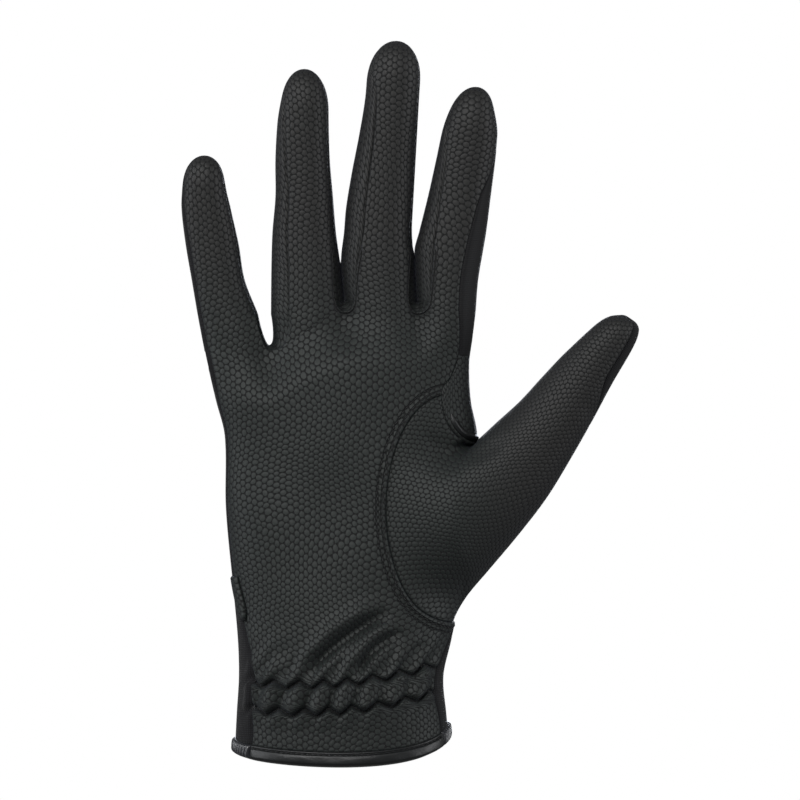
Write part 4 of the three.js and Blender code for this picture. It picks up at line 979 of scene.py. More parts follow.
points, out, grids = comb(False, *PALM_GRID)
far = comb_distance(points, grids)
trim = sewn_lines(points)
ridge = seam_ridge(trim[:, 0]) * (far > 0)
palm = leather_sheet("palm_leather", points, out, grids, far, lay_flat(points, grids), trim, lift=ridge)
dress(palm, "palm_panel", "embossed_leather")
cut_sheet(palm)

points, out, grids = comb(True, *BACK_GRID)
far = comb_distance(points, grids)
back = leather_sheet("back_fabric", points, out, grids, far, lay_flat(points, grids))
dress(back, "back_panel", "back_fabric")
cut_sheet(back)


# %% [markdown]
# ## The strips and side pieces
# Each fourchette is one long narrow strip of the same leather. The index finger's outer side has a strip
# of smooth stretch fabric, and an embossed gusset carries on from it down to the thumb's crotch.

# %% Plain grids and the strips
def grid_of(p, n):
    """A single block as points, directions and its one grid."""
    return p.reshape(-1, 3), n.reshape(-1, 3), [np.arange(p.shape[0] * p.shape[1]).reshape(p.shape[:2])]


def piece_from(name, p, n, node, slot, sides=("left", "right"), flat=None, **options):
    """A closed piece from one block. Its flat places are measured along its rows and columns."""
    points, out, grids = grid_of(p, n)
    far = edge_distance(points, grids[0], sides).ravel()
    if flat is None:
        across = edge_distance(points, grids[0], ("left",)) - edge_distance(points, grids[0], ("right",))
        up = edge_distance(points, grids[0], ("first",))
        flat = np.stack([across / 2, up], -1).reshape(-1, 2)
    obj = leather_sheet(name, points, out, grids, far, flat, **options)
    return dress(obj, node, slot)


SLIT_SINK, SINK_WIDTH = 1.0, 0.2  # how far the strip sinks below its front seam at the slit's bottom
STRIP_FREE, STRIP_ROUND, STRIP_ACROSS = 99, 37, 25  # points along each finger, round the slit and across


def strip_places(k):
    """Places along a strip, ending where the two side seams of each finger meet."""
    ends = [
        1 + (FINGER_BASE[f] + SEAM_END * LENGTHS[f] - SLIT_CENTRE[k]) / (FINGER_TIP[f] - SLIT_CENTRE[k])
        for f in (k, k + 1)
    ]
    free = (np.arange(1, STRIP_FREE + 1) / STRIP_FREE) ** 0.9
    left, right = 1 + (ends[0] - 1) * free, 1 + (ends[1] - 1) * free
    return np.r_[-left[::-1], np.linspace(-1, 1, STRIP_ROUND), right]


for k, node in enumerate(("fourchette_ring_little", "fourchette_middle_ring", "fourchette_index_middle")):
    places = strip_places(k)
    t = places[: (len(places) - 1) // STRIDE * STRIDE + 1, None]
    w = np.linspace(0, 1, STRIP_ACROSS)
    p, n = strip_vertex(k, t, w)
    sink = -SLIT_SINK * ease(1.5 - np.abs(t)) * np.exp(-((w / SINK_WIDTH) ** 2))
    cut_sheet(piece_from(node + "_leather", p, n, node, "embossed_leather", lift=sink.ravel()))


# %% [markdown]
# The index finger bends most over the reins, so its outer side is a smooth stretch fabric that gives. It
# ends above the thumb, where rein and thumb rub the glove, and a gusset of the embossed leather takes over
# down to the crotch. Both are plain grids between the palm's side seam and the back's.

# %% Side strip and gusset
def side_strip_block(rows, columns):
    """From the middle of the index finger down to the gusset, between the palm's and the back's seam."""
    top = FINGER_BASE[3] + (SIDE_STRIP_TIP - 0.0001) * LENGTHS[3]
    on_palm = np.linspace(SIDE_STRIP_END, SLIT_BOTTOM[2], rows // 4 + 1)
    on_finger = mix(SLIT_BOTTOM[2], top, np.linspace(0, 1, rows - rows // 4 + 1)[1:])
    z = np.r_[on_palm, on_finger][:, None]
    v = np.linspace(0, 1, columns + 1)
    low = body_vertex(mix(side_seam(z, False), side_seam(z, True), v), z)
    seam = [finger_seam(3, 1, side, z) for side in (False, True)]
    high = finger_vertex(3, mix(seam[0], seam[1], v), z)
    on_hand = (z <= SLIT_BOTTOM[2])[..., None]
    return [np.where(on_hand, a, b) for a, b in zip(low, high)]


def crotch_place(w):
    """The line over the side of the hand from the front top of the thumb's seam through the crotch."""
    behind = w > 0.5
    start_turn, start_z = bay_place(0.0, behind)
    bend = np.pi * np.minimum(w, 1 - w)
    z = mix(start_z, CROTCH_Z, np.sin(bend))
    mid, half = body_section(z)[:2]
    x = mix(body_point(start_turn, start_z)[..., 0], mid + half, 1 - np.cos(bend))
    return body_turn(x, z, behind), z


def gusset_block(rows, columns):
    w = np.linspace(0, 1, columns + 1)
    v = np.linspace(0, 1, rows + 1)[:, None]
    low_turn, low_z = crotch_place(w)
    z = mix(SIDE_STRIP_END, low_z + CROTCH_RELIEF * np.sin(np.pi * w), v)
    top = mix(side_seam(SIDE_STRIP_END, False), side_seam(SIDE_STRIP_END, True), w)
    turn = mix(top, low_turn, v)
    turn[:, 0], turn[:, -1] = side_seam(z[:, 0], False), side_seam(z[:, -1], True)
    return body_vertex(turn, z)


side_strip = piece_from("index_side_fabric", *side_strip_block(120, 24), "index_side_panel", "smooth_fabric")
cut_sheet(side_strip)
gusset = piece_from("gusset_leather", *gusset_block(45, 36), "thumb_gusset", "embossed_leather")
cut_sheet(gusset)


# %% [markdown]
# ## The thumb
# The thumb is a separate piece let into the palm along a curved seam. Its first rows lie on that seam,
# the middle rows bend round the crotch, and from there it is a slanted tube that closes at its tip.

# %% Thumb surface
def thumb_flat(at, q, back):
    """The thumb seen flat from the front: from its inner edge (0) to its outer edge (1), with a bow."""
    crotch_x = body_point(0.0, CROTCH_Z)[0]
    late = np.maximum(at, THUMB_FREE)
    names = ("in_x", "in_z", "out_x", "out_z", "bow")
    in_x, in_z, out_x, out_z, bow = (THUMB_LENGTH * along(THUMB_ROWS, "at", name, late) for name in names)
    early = np.clip(at / THUMB_FREE, 0, 1)
    turn, z = crotch_place(1 - early / 2 if back else early / 2)
    on_hand = early < 1
    seam_x = body_point(turn, z)[..., 0]
    inner = np.where(on_hand, seam_x, crotch_x + in_x), np.where(on_hand, z, CROTCH_Z + in_z)
    end_x = body_point(0.0, BAY_END)[0]
    out_x, out_z = crotch_x + out_x, CROTCH_Z + out_z
    outer = mix(end_x, out_x, early**1.5), mix(BAY_END, out_z, early**1.13)
    wide = BACK_BAY_WIDTH if back else BAY_WIDTH
    bow = np.where(on_hand, mix(wide, bow, ease(early * 0.8) / ease(0.8)), bow)
    half_x, half_z = (outer[0] - inner[0]) / 2, (outer[1] - inner[1]) / 2
    length = np.hypot(half_x, half_z)
    round_it, swell = -np.cos(np.pi * q), bow * np.sin(np.pi * q)
    x = (inner[0] + outer[0]) / 2 + half_x * round_it + half_z / length * swell
    z = (inner[1] + outer[1]) / 2 + half_z * round_it - half_x / length * swell
    return x, z


def thumb_point(at, q, back):
    at, q = np.broadcast_arrays(at, q)
    early = np.clip(at / THUMB_FREE, 0, 1)
    x, z = thumb_flat(at, q, back)
    first_x, first_z = thumb_flat(np.zeros_like(at), q, back)
    seam_turn, seam_z = bay_place(q, back)
    keep = 1 - ease(early)
    x = x + keep * (body_point(seam_turn, seam_z)[..., 0] - first_x)
    z = z + keep * (seam_z - first_z)
    late = np.maximum(at, THUMB_FREE)
    depth = THUMB_DEPTH * along(THUMB_ROWS, "at", "back" if back else "front", late)
    lean = THUMB_LEAN * (late - THUMB_FREE) / (1 - THUMB_FREE)
    deep = np.abs(square_round(np.pi * q, SQUARE_THUMB)[1])
    tube = (depth if back else -depth) * deep - lean
    hand = body_point(body_turn(x, z, back), z)[..., 1]
    spread = mix(ease(q / 0.35), 1, ease((early - 0.7) / 0.3))
    y = np.where(early < 1, mix(hand, tube, ease(early) * spread), tube)
    return point(x, y, z)


def thumb_vertex(at, q, back):
    """The hand's own direction on the seam, the thumb's further up, level along its two side seams."""
    at, q = np.broadcast_arrays(np.asarray(at, float), np.asarray(q, float))
    step = 0.004

    def place(a, b):
        return thumb_point(np.clip(a, 0, 0.999), np.clip(b, 0, 1), back)

    run = place(at + step, q) - place(at - step, q)
    across = place(at, q + step) - place(at, q - step)
    n = np.cross(across, run) * (-1 if back else 1)
    n[..., 1] = np.where((q == 0) | (q == 1), 0, n[..., 1])
    n = unit(n)
    p = thumb_point(at, q, back)
    early = np.clip(at / THUMB_FREE, 0, 1)
    hand = facing(body_point, body_turn(p[..., 0], p[..., 2], back), p[..., 2])
    hand = np.where((q == 1)[..., None], [1.0, 0.0, 0.0], hand)
    settle = ease(early * 1.4) * np.where(q == 0, ease(early), 1)
    n = np.where((early < 1)[..., None], unit(mix(hand, n, settle[..., None])), n)
    n = np.where((at >= 1)[..., None], [0.707, 0.0, 0.707], n)
    return p, n


print("the thumb's tip:", thumb_vertex(1.0, 0.5, False)[0].round(1).tolist(), "mm")


# %% [markdown]
# The front is leather with three soft creases, and its scales are smaller than the palm's and run along the
# thumb. The back is the same knit as the hand's. Near the tip the back comes round to the front in a narrow
# strip, as it does in the photograph.

# %% Thumb front and back
THUMB_AXIS = np.array([0.62, 0.0, 0.785])
THUMB_GRAIN = 1.22  # the thumb's scales are smaller than the palm's by this
THUMB_EDGES = ("left", "right", "first")
CREASE_FADE = 5.0  # distance from the thumb's seams at which a crease has its full depth
WRAP, WRAP_FROM, WRAP_OVER = 0.26, 0.66, 0.15  # share of the front that the back takes, from where, how soon

THUMB_CREASES = table(
    "x z run_x run_z length width depth",
    (78, 110, 0.72, -0.69, 26, 2.2, 0.5),
    (41, 93, 0.9, 0.44, 12, 2.6, 0.9),
    (27, 100, 0.7, -0.71, 9, 1.8, 0.5),
)


def thumb_creases(x, z):
    """Soft valleys in the thumb's leather: along the outer side, and across the ball towards the crotch."""
    total = 0
    for i in range(len(THUMB_CREASES["x"])):
        c = {name: column[i] for name, column in THUMB_CREASES.items()}
        t = ((x - c["x"]) * c["run_x"] + (z - c["z"]) * c["run_z"]) / c["length"]
        off = ((x - c["x"]) * c["run_z"] - (z - c["z"]) * c["run_x"]) / c["width"]
        total = total - c["depth"] * np.exp(-(off**2)) * np.exp(-((2 * t - 1) ** 4))
    return total


def thumb_block(back, rows, columns):
    """The thumb's front or back, with the strip near the tip where the back comes round to the front."""
    on_hand = np.linspace(0, THUMB_FREE, rows // 3 + 1)[:-1]
    free = mix(THUMB_FREE, 1, np.sin(np.linspace(0, np.pi / 2, rows - rows // 3 + 1)))
    at = np.r_[on_hand, free][:, None]
    wrap = WRAP * ease((at - WRAP_FROM) / WRAP_OVER)
    q = np.linspace(0, 1, columns + 1) * (1 + wrap if back else 1 - wrap)
    p, n = thumb_vertex(at, np.minimum(q, 1), back)
    front_p, front_n = thumb_vertex(at, np.minimum(2 - q, 1), False)
    in_front = (q > 1)[..., None]
    return np.where(in_front, front_p, p), np.where(in_front, front_n, n), at[:, 0]


def thumb_pattern(p, at):
    """The thumb's leather is cut with its scales along the thumb: each point's place across and along the
    thumb's axis. On the tube the place across is the distance round it from its middle."""
    along_it = p @ THUMB_AXIS
    aside = p @ np.cross([0.0, 1.0, 0.0], THUMB_AXIS)
    steps = np.hstack([np.zeros((len(p), 1)), np.cumsum(np.linalg.norm(np.diff(p, axis=1), axis=2), 1)])
    middle = p.shape[1] // 2
    arc = steps - steps[:, middle, None]
    middle_aside = aside[:, middle, None]
    arc = arc * np.sign(np.sum(arc * (aside - middle_aside))) + middle_aside
    across = mix(aside, arc, ease((at - 0.12) / 0.25)[:, None])
    return np.stack([across, along_it], -1).reshape(-1, 2)


for back_side, rows, columns, name, node, slot, beside in (
    (False, 132, 60, "thumb_leather", "thumb_palm_panel", "embossed_leather", "palm_panel"),
    (True, 99, 36, "thumb_fabric", "thumb_back_panel", "back_fabric", "back_panel"),
):
    p, n, at = thumb_block(back_side, rows, columns)
    if not back_side:
        points, _, grids = grid_of(p, n)
        edge = edge_distance(points, grids[0], THUMB_EDGES)
        p = p + n * (thumb_creases(p[..., 0], p[..., 2]) * ease(edge / CREASE_FADE))[..., None]
    flat = thumb_pattern(p, at) * THUMB_GRAIN
    cut_sheet(piece_from(name, p, n, node, slot, sides=THUMB_EDGES, flat=flat))


# %% [markdown]
# ## Hem
# The wrist's edge is bound with a strip of smooth leather on the palm side, sewn on just under its top
# edge, and with a ribbed elastic round the back.

# %% Hem bindings
ALL_EDGES = ("left", "right", "first", "last")
HEM_DIP = 0.8  # the stitch line's share of the binding's height
ELASTIC_RIBS, RIB_HEIGHT = 52, 0.6  # ribs in half a turn round the hem


def binding_block(start, end, steps, rows):
    """A band round the hem, with the turn of each column and the share of its height of each row."""
    turn = np.linspace(start, end, steps + 1)[:, None]
    up = np.linspace(0, 1, rows + 1)
    p, n = body_vertex(turn, hem_line(turn) + up * HEM_HEIGHT)
    return p, n, turn, up


def hem_profile(up):
    """The binding's relief from its lower edge to its top: a full roll, the dip of the stitch line, and the
    thin top edge."""
    roll = HEM_BULGE * np.sqrt(np.clip(1 - ((up - 0.36) / 0.42) ** 2, 0, 1))
    dip = -0.35 * np.exp(-(((up - HEM_DIP) / 0.06) ** 2))
    return roll + dip


HEM_FROM, HEM_TO = float(wrist_seam(np.array(0.0))), float(left_seam(np.array(0.0)))
p, n, turn, up = binding_block(HEM_FROM, HEM_TO, 240, 24)
wrinkle = 0.06 * np.sin(turn * 9 + 3 * up) + 0.03 * np.sin(turn * 31 - 4 * up + 1)
lift = hem_profile(up) + wrinkle * ease(up / 0.2) * ease((0.7 - up) / 0.2)
trims = {"sides": ALL_EDGES, "wall": HEM_WALL, "base_lift": HEM_LIFT}
piece_from("hem_binding_leather", p, n, "hem_binding_front", "binding_leather", lift=lift.ravel(), **trims)
p, n, turn, up = binding_block(HEM_TO, HEM_FROM + 2 * np.pi, 480, 18)
ribs = RIB_HEIGHT * (np.abs(np.sin(turn * ELASTIC_RIBS + 1.8 * up)) ** 0.8 - 0.5)
lift = ribs + HEM_BULGE * np.sqrt(np.clip(1 - ((up - 0.45) / 0.5) ** 2, 0, 1))
piece_from("hem_elastic", p, n, "hem_binding_back", "elastic", lift=lift.ravel(), **trims)


# %% [markdown]
# ## Welt and tongue
# A narrow welt guards the thumb's crotch, where the reins would wear the seam, and the rounded end of the
# closure shows at the little finger's side of the wrist.

# %% Welt and tongue
WELT_WIDTH, WELT_THICKNESS, WELT_ASIDE, WELT_SINK = 1.6, 0.6, 2.1, 0.7
WELT_END, WELT_TAPER = 0.08, 0.14  # shares of the crotch's line: left free at each end, and tapered
TONGUE_WIDTH, TONGUE_TOP, TONGUE_BOTTOM, TONGUE_TURN, TONGUE_THICKNESS = 7.0, 54.0, 40.5, 0.06, 0.9
TONGUE_ROUND = 0.45  # share of the tongue's length where its rounded end begins

w = np.linspace(WELT_END, 1 - WELT_END, 109)
before, after, here = (body_point(*crotch_place(w + step)) for step in (-0.01, 0.01, 0))
n = facing(body_point, *crotch_place(w))
aside = unit(np.cross(n, after - before))
across = np.linspace(-1, 1, 7)
full = ease(np.minimum(w - w[0], w[-1] - w) / WELT_TAPER)[:, None]
beside = WELT_ASIDE + across * WELT_WIDTH / 2 * mix(0.4, 1, full)
flat = here[:, None] + aside[:, None] * beside[..., None]
p, n = body_vertex(body_turn(flat[..., 0], flat[..., 2], flat[..., 1] > 0), flat[..., 2])
p = p - n * (WELT_SINK * (1 - full))[..., None]
piece_from("crotch_welt", p, n, "thumb_crotch_welt", "binding_leather",
           wall=WELT_THICKNESS, base_lift=WELT_THICKNESS)

t = np.linspace(0, 1, 43)[:, None]
z = mix(TONGUE_TOP, TONGUE_BOTTOM, t)
into_round = np.maximum(0, (t - TONGUE_ROUND) / (1 - TONGUE_ROUND))
width = TONGUE_WIDTH * np.sqrt(np.maximum(0.06, 1 - into_round**2))
turn = left_seam(z) - TONGUE_TURN + width / body_section(z)[1] / 2 * np.linspace(1, -1, 25)
p, n = body_vertex(turn, z)
piece_from("tongue_leather", p, n, "closure_tongue", "embossed_leather", sides=("left", "right", "last"),
           wall=TONGUE_THICKNESS, base_lift=TONGUE_THICKNESS + GAP)


# %% [markdown]
# ## Stitches
# Thread is a row of short rounded bars. Each has only a few faces, because one stitch is a couple of
# millimetres long, and they are laid along the same seam functions as the leather.

# %% Stitch maker
STITCH_AROUND, STITCH_ALONG = 5, 4


def stitches(name, start, end, out, thick=0.3, arch=0.12):
    """One mesh of thread bars. A bar is a small tube that rises from start, arches along the outward
    direction and dips back at end; its radius swells from nothing and back like a half circle."""
    s = np.linspace(0, 1, STITCH_ALONG + 1)
    ring = np.linspace(0, 2 * np.pi, STITCH_AROUND, endpoint=False)
    run = unit(end - start)
    out = unit(out - run * np.sum(out * run, axis=1, keepdims=True))
    side = np.cross(run, out)
    spine = mix(start[:, None], end[:, None], s[:, None]) + out[:, None] * (arch * np.sin(np.pi * s))[:, None]
    radius = thick / 2 * np.sqrt(np.clip(1 - (2 * s - 1) ** 6, 0.12, 1))
    turned = side[:, None] * np.cos(ring)[:, None] + out[:, None] * np.sin(ring)[:, None]
    bars = spine[:, :, None] + turned[:, None] * radius[:, None, None]
    around = np.arange(STITCH_AROUND)
    strip = np.arange(STITCH_ALONG)[:, None] * STITCH_AROUND
    beside, above = np.roll(around, -1), strip + STITCH_AROUND
    quads = np.stack([strip + around, strip + beside, above + beside, above + around], -1)
    per = (STITCH_ALONG + 1) * STITCH_AROUND
    shift = np.arange(len(start)) * per
    sides = (quads.reshape(-1, 4)[None] + shift[:, None, None]).reshape(-1, 4)
    caps = [around[::-1], around + per - STITCH_AROUND]
    faces = sides.tolist() + [(cap + k).tolist() for k in shift for cap in caps]
    obj = object_from(name, bars.reshape(-1, 3), faces)
    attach(obj, "root")
    report(obj)
    return obj


def bars_along(p, n, pitch, fill=0.72):
    """Starts, ends and outward directions of stitches of one pitch along a line of points."""
    length = np.r_[0, np.cumsum(np.linalg.norm(np.diff(p, axis=0), axis=1))]
    count = max(1, round(length[-1] / pitch))
    where = np.arange(count) / count * length[-1]

    def at(values, place):
        return np.stack([np.interp(place, length, values[:, i]) for i in range(3)], -1)

    ends = where + fill * length[-1] / count
    out = unit(at(n, (where + ends) / 2))
    return at(p, where), at(p, ends), out


print("faces of one stitch:", STITCH_AROUND * STITCH_ALONG + 2)


# %% [markdown]
# Two parallel rows hold the thumb's seam flat, one zigzag row of short stitches each gathers the wrist above
# and below the puffs, and one row closes the hem's binding. The pitch of each comes from counting stitches
# in the photograph: 2 mm on the thumb, 1.6 mm in the gathers and 1.8 mm on the hem.

# %% Topstitch, shirring rows and hem row
q = np.linspace(0.035, 0.985, 260)
place_turn, place_z = bay_place(q, False)
seam, seam_out = body_vertex(place_turn, place_z)
aside = unit(np.cross(np.gradient(seam, axis=0), seam_out))
aside = aside * np.sign(np.sum(aside * [-1, 0, 0], axis=1).mean())
for row, far in enumerate(TOPSTITCH):
    line = seam + aside * far
    flat_turn = body_turn(line[:, 0], line[:, 2], False)
    on, out = body_vertex(flat_turn, line[:, 2])
    on = on + out * seam_ridge(far)
    stitches(f"thumb_topstitch_{row + 1}", *bars_along(on, out, 2.0), thick=0.36, arch=0.16)

MIDDLE_ROW, SHORT_OF_SEAM = 16.0, 0.05  # a height between the two rows, and a turn before the side seams
turn = np.linspace(float(wrist_seam(np.array(20.0))) + SHORT_OF_SEAM,
                   float(left_seam(np.array(15.0))) - SHORT_OF_SEAM, 700)
for name, z in zip(("upper", "lower"), row_lines(body_point(turn, MIDDLE_ROW)[:, 0])):
    on, out = body_vertex(turn, z)
    stitches(f"shirring_{name}", *bars_along(on, out, 1.6, 0.8), thick=0.4, arch=0.15)

turn = np.linspace(HEM_FROM + 0.03, HEM_TO - 0.03, 400)
on, out = body_vertex(turn, hem_line(turn) + HEM_DIP * HEM_HEIGHT)
stitches("hem_stitches", *bars_along(on + out * HEM_LIFT, out, 1.8, 0.7), thick=0.34)


# %% [markdown]
# ## Finishes
# Everything is black, so the finishes differ only in grain, gloss and sheen. The palm is a synthetic
# leather pressed with small rounded scales; the back is a knit; the hem has smooth leather and elastic.

# %% Node helpers
def hex_colour(code):
    """An sRGB hex colour as linear red, green, blue and alpha."""
    srgb = np.array([int(code[i : i + 2], 16) for i in (1, 3, 5)]) / 255
    linear = np.where(srgb <= 0.04045, srgb / 12.92, ((srgb + 0.055) / 1.055) ** 2.4)
    return (*linear.tolist(), 1.0)


def fill_inputs(tree, node, inputs):
    """Sets inputs by name or number, each to a plain value, an output socket to link from, or a node, which
    stands for its first output."""
    for name, value in inputs.items():
        source = value.outputs[0] if isinstance(value, bpy.types.Node) else value
        if isinstance(source, bpy.types.NodeSocket):
            tree.links.new(source, node.inputs[name])
        else:
            node.inputs[name].default_value = source


def add_node(tree, kind, inputs=None, **settings):
    """Adds a shader node with its settings and its inputs."""
    node = tree.nodes.new("ShaderNode" + kind)
    for name, value in settings.items():
        setattr(node, name, value)
    fill_inputs(tree, node, inputs or {})
    return node


def new_material(name):
    """A material with only its principled shader."""
    material = bpy.data.materials.new(name)
    material.use_nodes = True
    tree = material.node_tree
    tree.nodes.clear()
    shader = add_node(tree, "BsdfPrincipled")
    add_node(tree, "OutputMaterial", {"Surface": shader})
    return material, tree, shader


print("black:", hex_colour("#1c1f1e")[:3])


# %% [markdown]
# The pressed scales stand in columns, each column half a scale higher than the next, like a honeycomb. The
# sum of three waves has its tops on just such a grid. A slow warp makes some scales larger, and a quick one
# makes each a little uneven. Both are read from each point's place on the flat leather, so the scales follow
# the surface.

# %% Scales
COLUMN_PITCH, SCALE_PITCH = 1.72, 2.2  # between two columns, and between two scales in a column
SLOW_WARP, QUICK_WARP = 8.0, 1.0
SLOW_WAVES, QUICK_WAVES = 0.03, 0.33  # waves a millimetre
SMOOTH = {"interpolation_type": "SMOOTHSTEP"}


def moved_by_noise(tree, place, waves, amount):
    """The place shifted by a noise of so many waves a millimetre."""
    noise = add_node(tree, "TexNoise", {"Vector": place, "Scale": waves, "Detail": 0.0}).outputs["Color"]
    centred = add_node(tree, "VectorMath", {0: noise, 1: (0.5, 0.5, 0.5)}, operation="SUBTRACT")
    reach = (amount, amount, 0)
    return add_node(tree, "VectorMath", {0: centred, 1: reach, 2: place}, operation="MULTIPLY_ADD")


def honeycomb(tree, place):
    """0 in the grooves and 1 on the scales: cos(2u) + cos(v - u) + cos(v + u), brought to 0..1, with u half
    a turn for each column and v a turn for each scale."""
    moved = moved_by_noise(tree, place, SLOW_WAVES, SLOW_WARP)
    moved = moved_by_noise(tree, moved, QUICK_WAVES, QUICK_WARP)
    turns = (np.pi / COLUMN_PITCH, 2 * np.pi / SCALE_PITCH, 1.0)
    turned = add_node(tree, "VectorMath", {0: moved, 1: turns}, operation="MULTIPLY")
    u, v, _ = add_node(tree, "SeparateXYZ", {0: turned}).outputs
    total = 0.0
    for operation, a, b in (("MULTIPLY", u, 2.0), ("SUBTRACT", v, u), ("ADD", v, u)):
        angle = add_node(tree, "Math", {0: a, 1: b}, operation=operation)
        wave = add_node(tree, "Math", {0: angle}, operation="COSINE")
        total = add_node(tree, "Math", {0: wave, 1: total}, operation="ADD")
    return add_node(tree, "Math", {0: total, 1: 1 / 4.5, 2: 1 / 3}, operation="MULTIPLY_ADD")


print("scales:", round(10 / COLUMN_PITCH, 1), "columns in 10 mm")


# %% [markdown]
# Embossed leather is split leather or a coated cloth that a heated roller has pressed. The grooves are matt,
# the tops slightly glossy, and the grooves carry painted shade, a darker colour than the tops. The stitched
# rows press the same grooves, only wider, with the same painted shade, and no scale stands in them. The palm
# has a faint green cast, which fades on the fingers and on the thumb.

# %% Embossed leather
EMBOSS_DEPTH = 0.00024
GROOVE_END, SCALE_TOP = 0.07, 0.21  # heights of the honeycomb where a groove ends and a scale's top begins
# The third colour is painted shade, given to the grooves and to the pressed rows of stitches.
PALM_BLACK, FINGER_BLACK, PAINTED_GROOVE_SHADE = "#1b201e", "#20201f", "#090a0a"


def top_colour(tree):
    """The scales' colour, from the palm to the fingers above it and to the thumb beside it."""
    place = add_node(tree, "TexCoord").outputs["Object"]
    x, _, z = add_node(tree, "SeparateXYZ", {0: place}).outputs
    up = add_node(tree, "MapRange", {"Value": z, "From Min": 0.125, "From Max": 0.17}, **SMOOTH)
    aside = add_node(tree, "MapRange", {"Value": x, "From Min": 0.035, "From Max": 0.06}, **SMOOTH)
    plain = add_node(tree, "Math", {0: up, 1: aside}, operation="MAXIMUM")
    colours = {0: plain, 6: hex_colour(PALM_BLACK), 7: hex_colour(FINGER_BLACK)}
    return add_node(tree, "Mix", colours, data_type="RGBA").outputs[2]


def sewn_grooves(tree):
    """0 on the rows of stitches and 1 beside them, from the distances in the trim attribute."""
    trim = add_node(tree, "Attribute", attribute_name="trim").outputs["Vector"]
    to_seam, to_upper, to_lower = add_node(tree, "SeparateXYZ", {0: trim}).outputs
    rows = [(to_seam, line, 0.42) for line in TOPSTITCH] + [(to_upper, 0.0, 0.7), (to_lower, 0.0, 0.7)]
    pressed = 1.0
    for distance, line, width in rows:
        off = add_node(tree, "Math", {0: distance, 1: line}, operation="SUBTRACT")
        off = add_node(tree, "Math", {0: off}, operation="ABSOLUTE")
        groove = add_node(tree, "MapRange", {"Value": off, "From Min": 0.0, "From Max": width}, **SMOOTH)
        pressed = add_node(tree, "Math", {0: groove, 1: pressed}, operation="MULTIPLY")
    return pressed


def embossed_leather():
    """Height is the scales' step and their slight dome, with a fine grain, all flattened in the grooves."""
    material, tree, shader = new_material("embossed_leather")
    place = add_node(tree, "Attribute", attribute_name="pattern").outputs["Vector"]
    wave = honeycomb(tree, place)
    limits = {"Value": wave, "From Min": GROOVE_END, "From Max": SCALE_TOP}
    rise = add_node(tree, "MapRange", limits, **SMOOTH)
    step = add_node(tree, "Math", {0: rise, 1: 0.6}, operation="MULTIPLY")
    scales = add_node(tree, "Math", {0: wave, 1: 0.3, 2: step}, operation="MULTIPLY_ADD")
    grain = add_node(tree, "TexNoise", {"Vector": place, "Scale": 5.0, "Detail": 2.0})
    scales = add_node(tree, "Math", {0: grain, 1: 0.08, 2: scales}, operation="MULTIPLY_ADD")

    pressed = sewn_grooves(tree)
    scales = add_node(tree, "Math", {0: scales, 1: pressed}, operation="MULTIPLY")
    height = add_node(tree, "Math", {0: pressed, 1: 1.3, 2: scales}, operation="MULTIPLY_ADD")
    top = add_node(tree, "Math", {0: rise, 1: pressed}, operation="MULTIPLY")
    # Painted shade: where top is low, in the grooves and on the pressed rows, the colour goes to the dark
    # groove colour.
    colours = {0: top, 6: hex_colour(PAINTED_GROOVE_SHADE), 7: top_colour(tree)}
    fill_inputs(tree, shader, {
        "Base Color": add_node(tree, "Mix", colours, data_type="RGBA").outputs[2],
        "Roughness": add_node(tree, "MapRange", {"Value": top, "To Min": 0.85, "To Max": 0.58}, **SMOOTH),
        "Normal": add_node(tree, "Bump", {"Height": height, "Distance": EMBOSS_DEPTH}),
        "Specular IOR Level": 0.4,
        "Sheen Weight": 0.05,
        "Sheen Roughness": 0.4,
        "Sheen Tint": hex_colour("#b9bfe0"),
    })
    return material


print("the embossing is", 1000 * EMBOSS_DEPTH, "mm deep")


# %% [markdown]
# The back is a close stretch knit: columns of small loops, matt, with a soft sheen at grazing light. The
# strip beside the index finger is a smoother cloth with fine ribs across it.

# %% Fabrics
ACROSS, UP = 0, 1


def knitted_cloth(name, pitches, depth, dark, light, rough, sheen):
    """Relief as the product of one wave for each pitch in millimetres: both make loops, UP alone ribs."""
    material, tree, shader = new_material(name)
    place = add_node(tree, "Attribute", attribute_name="pattern").outputs["Vector"]
    parts = add_node(tree, "SeparateXYZ", {0: place}).outputs
    height = 1.0
    for direction, pitch in pitches.items():
        turn = add_node(tree, "Math", {0: parts[direction], 1: 2 * np.pi / pitch}, operation="MULTIPLY")
        wave = add_node(tree, "Math", {0: turn}, operation="SINE")
        wave = add_node(tree, "Math", {0: wave, 1: 0.5, 2: 0.5}, operation="MULTIPLY_ADD")
        height = add_node(tree, "Math", {0: wave, 1: height}, operation="MULTIPLY")
    # Painted shade: the colour is darker where the relief is low, in the hollows between the loops or ribs,
    # and lighter on their tops.
    colours = {0: height, 6: hex_colour(dark), 7: hex_colour(light)}
    fill_inputs(tree, shader, {
        "Base Color": add_node(tree, "Mix", colours, data_type="RGBA").outputs[2],
        "Roughness": rough,
        "Normal": add_node(tree, "Bump", {"Height": height, "Distance": depth}),
        "Specular IOR Level": 0.25,
        "Sheen Weight": sheen,
        "Sheen Roughness": 0.45,
    })
    return material


# The first colour of each cloth is painted shade for the hollows, the second the colour of the loop or rib
# tops.
back_fabric = knitted_cloth("back_fabric", {ACROSS: 0.9, UP: 0.7}, 0.00012, "#08080a", "#18181c", 0.8, 0.08)
smooth_fabric = knitted_cloth("smooth_fabric", {UP: 0.6}, 0.00004, "#08080a", "#0e0e11", 0.65, 0.05)
print("two fabrics:", back_fabric.name, smooth_fabric.name)


# %% [markdown]
# The hem's binding and the crotch's welt are a smooth, finely grained leather with a satin gloss. The
# elastic round the back of the hem is glossier, with a clear coat, so its ribs catch the light as thin
# streaks. The thread is matt black and too thin to show any grain.

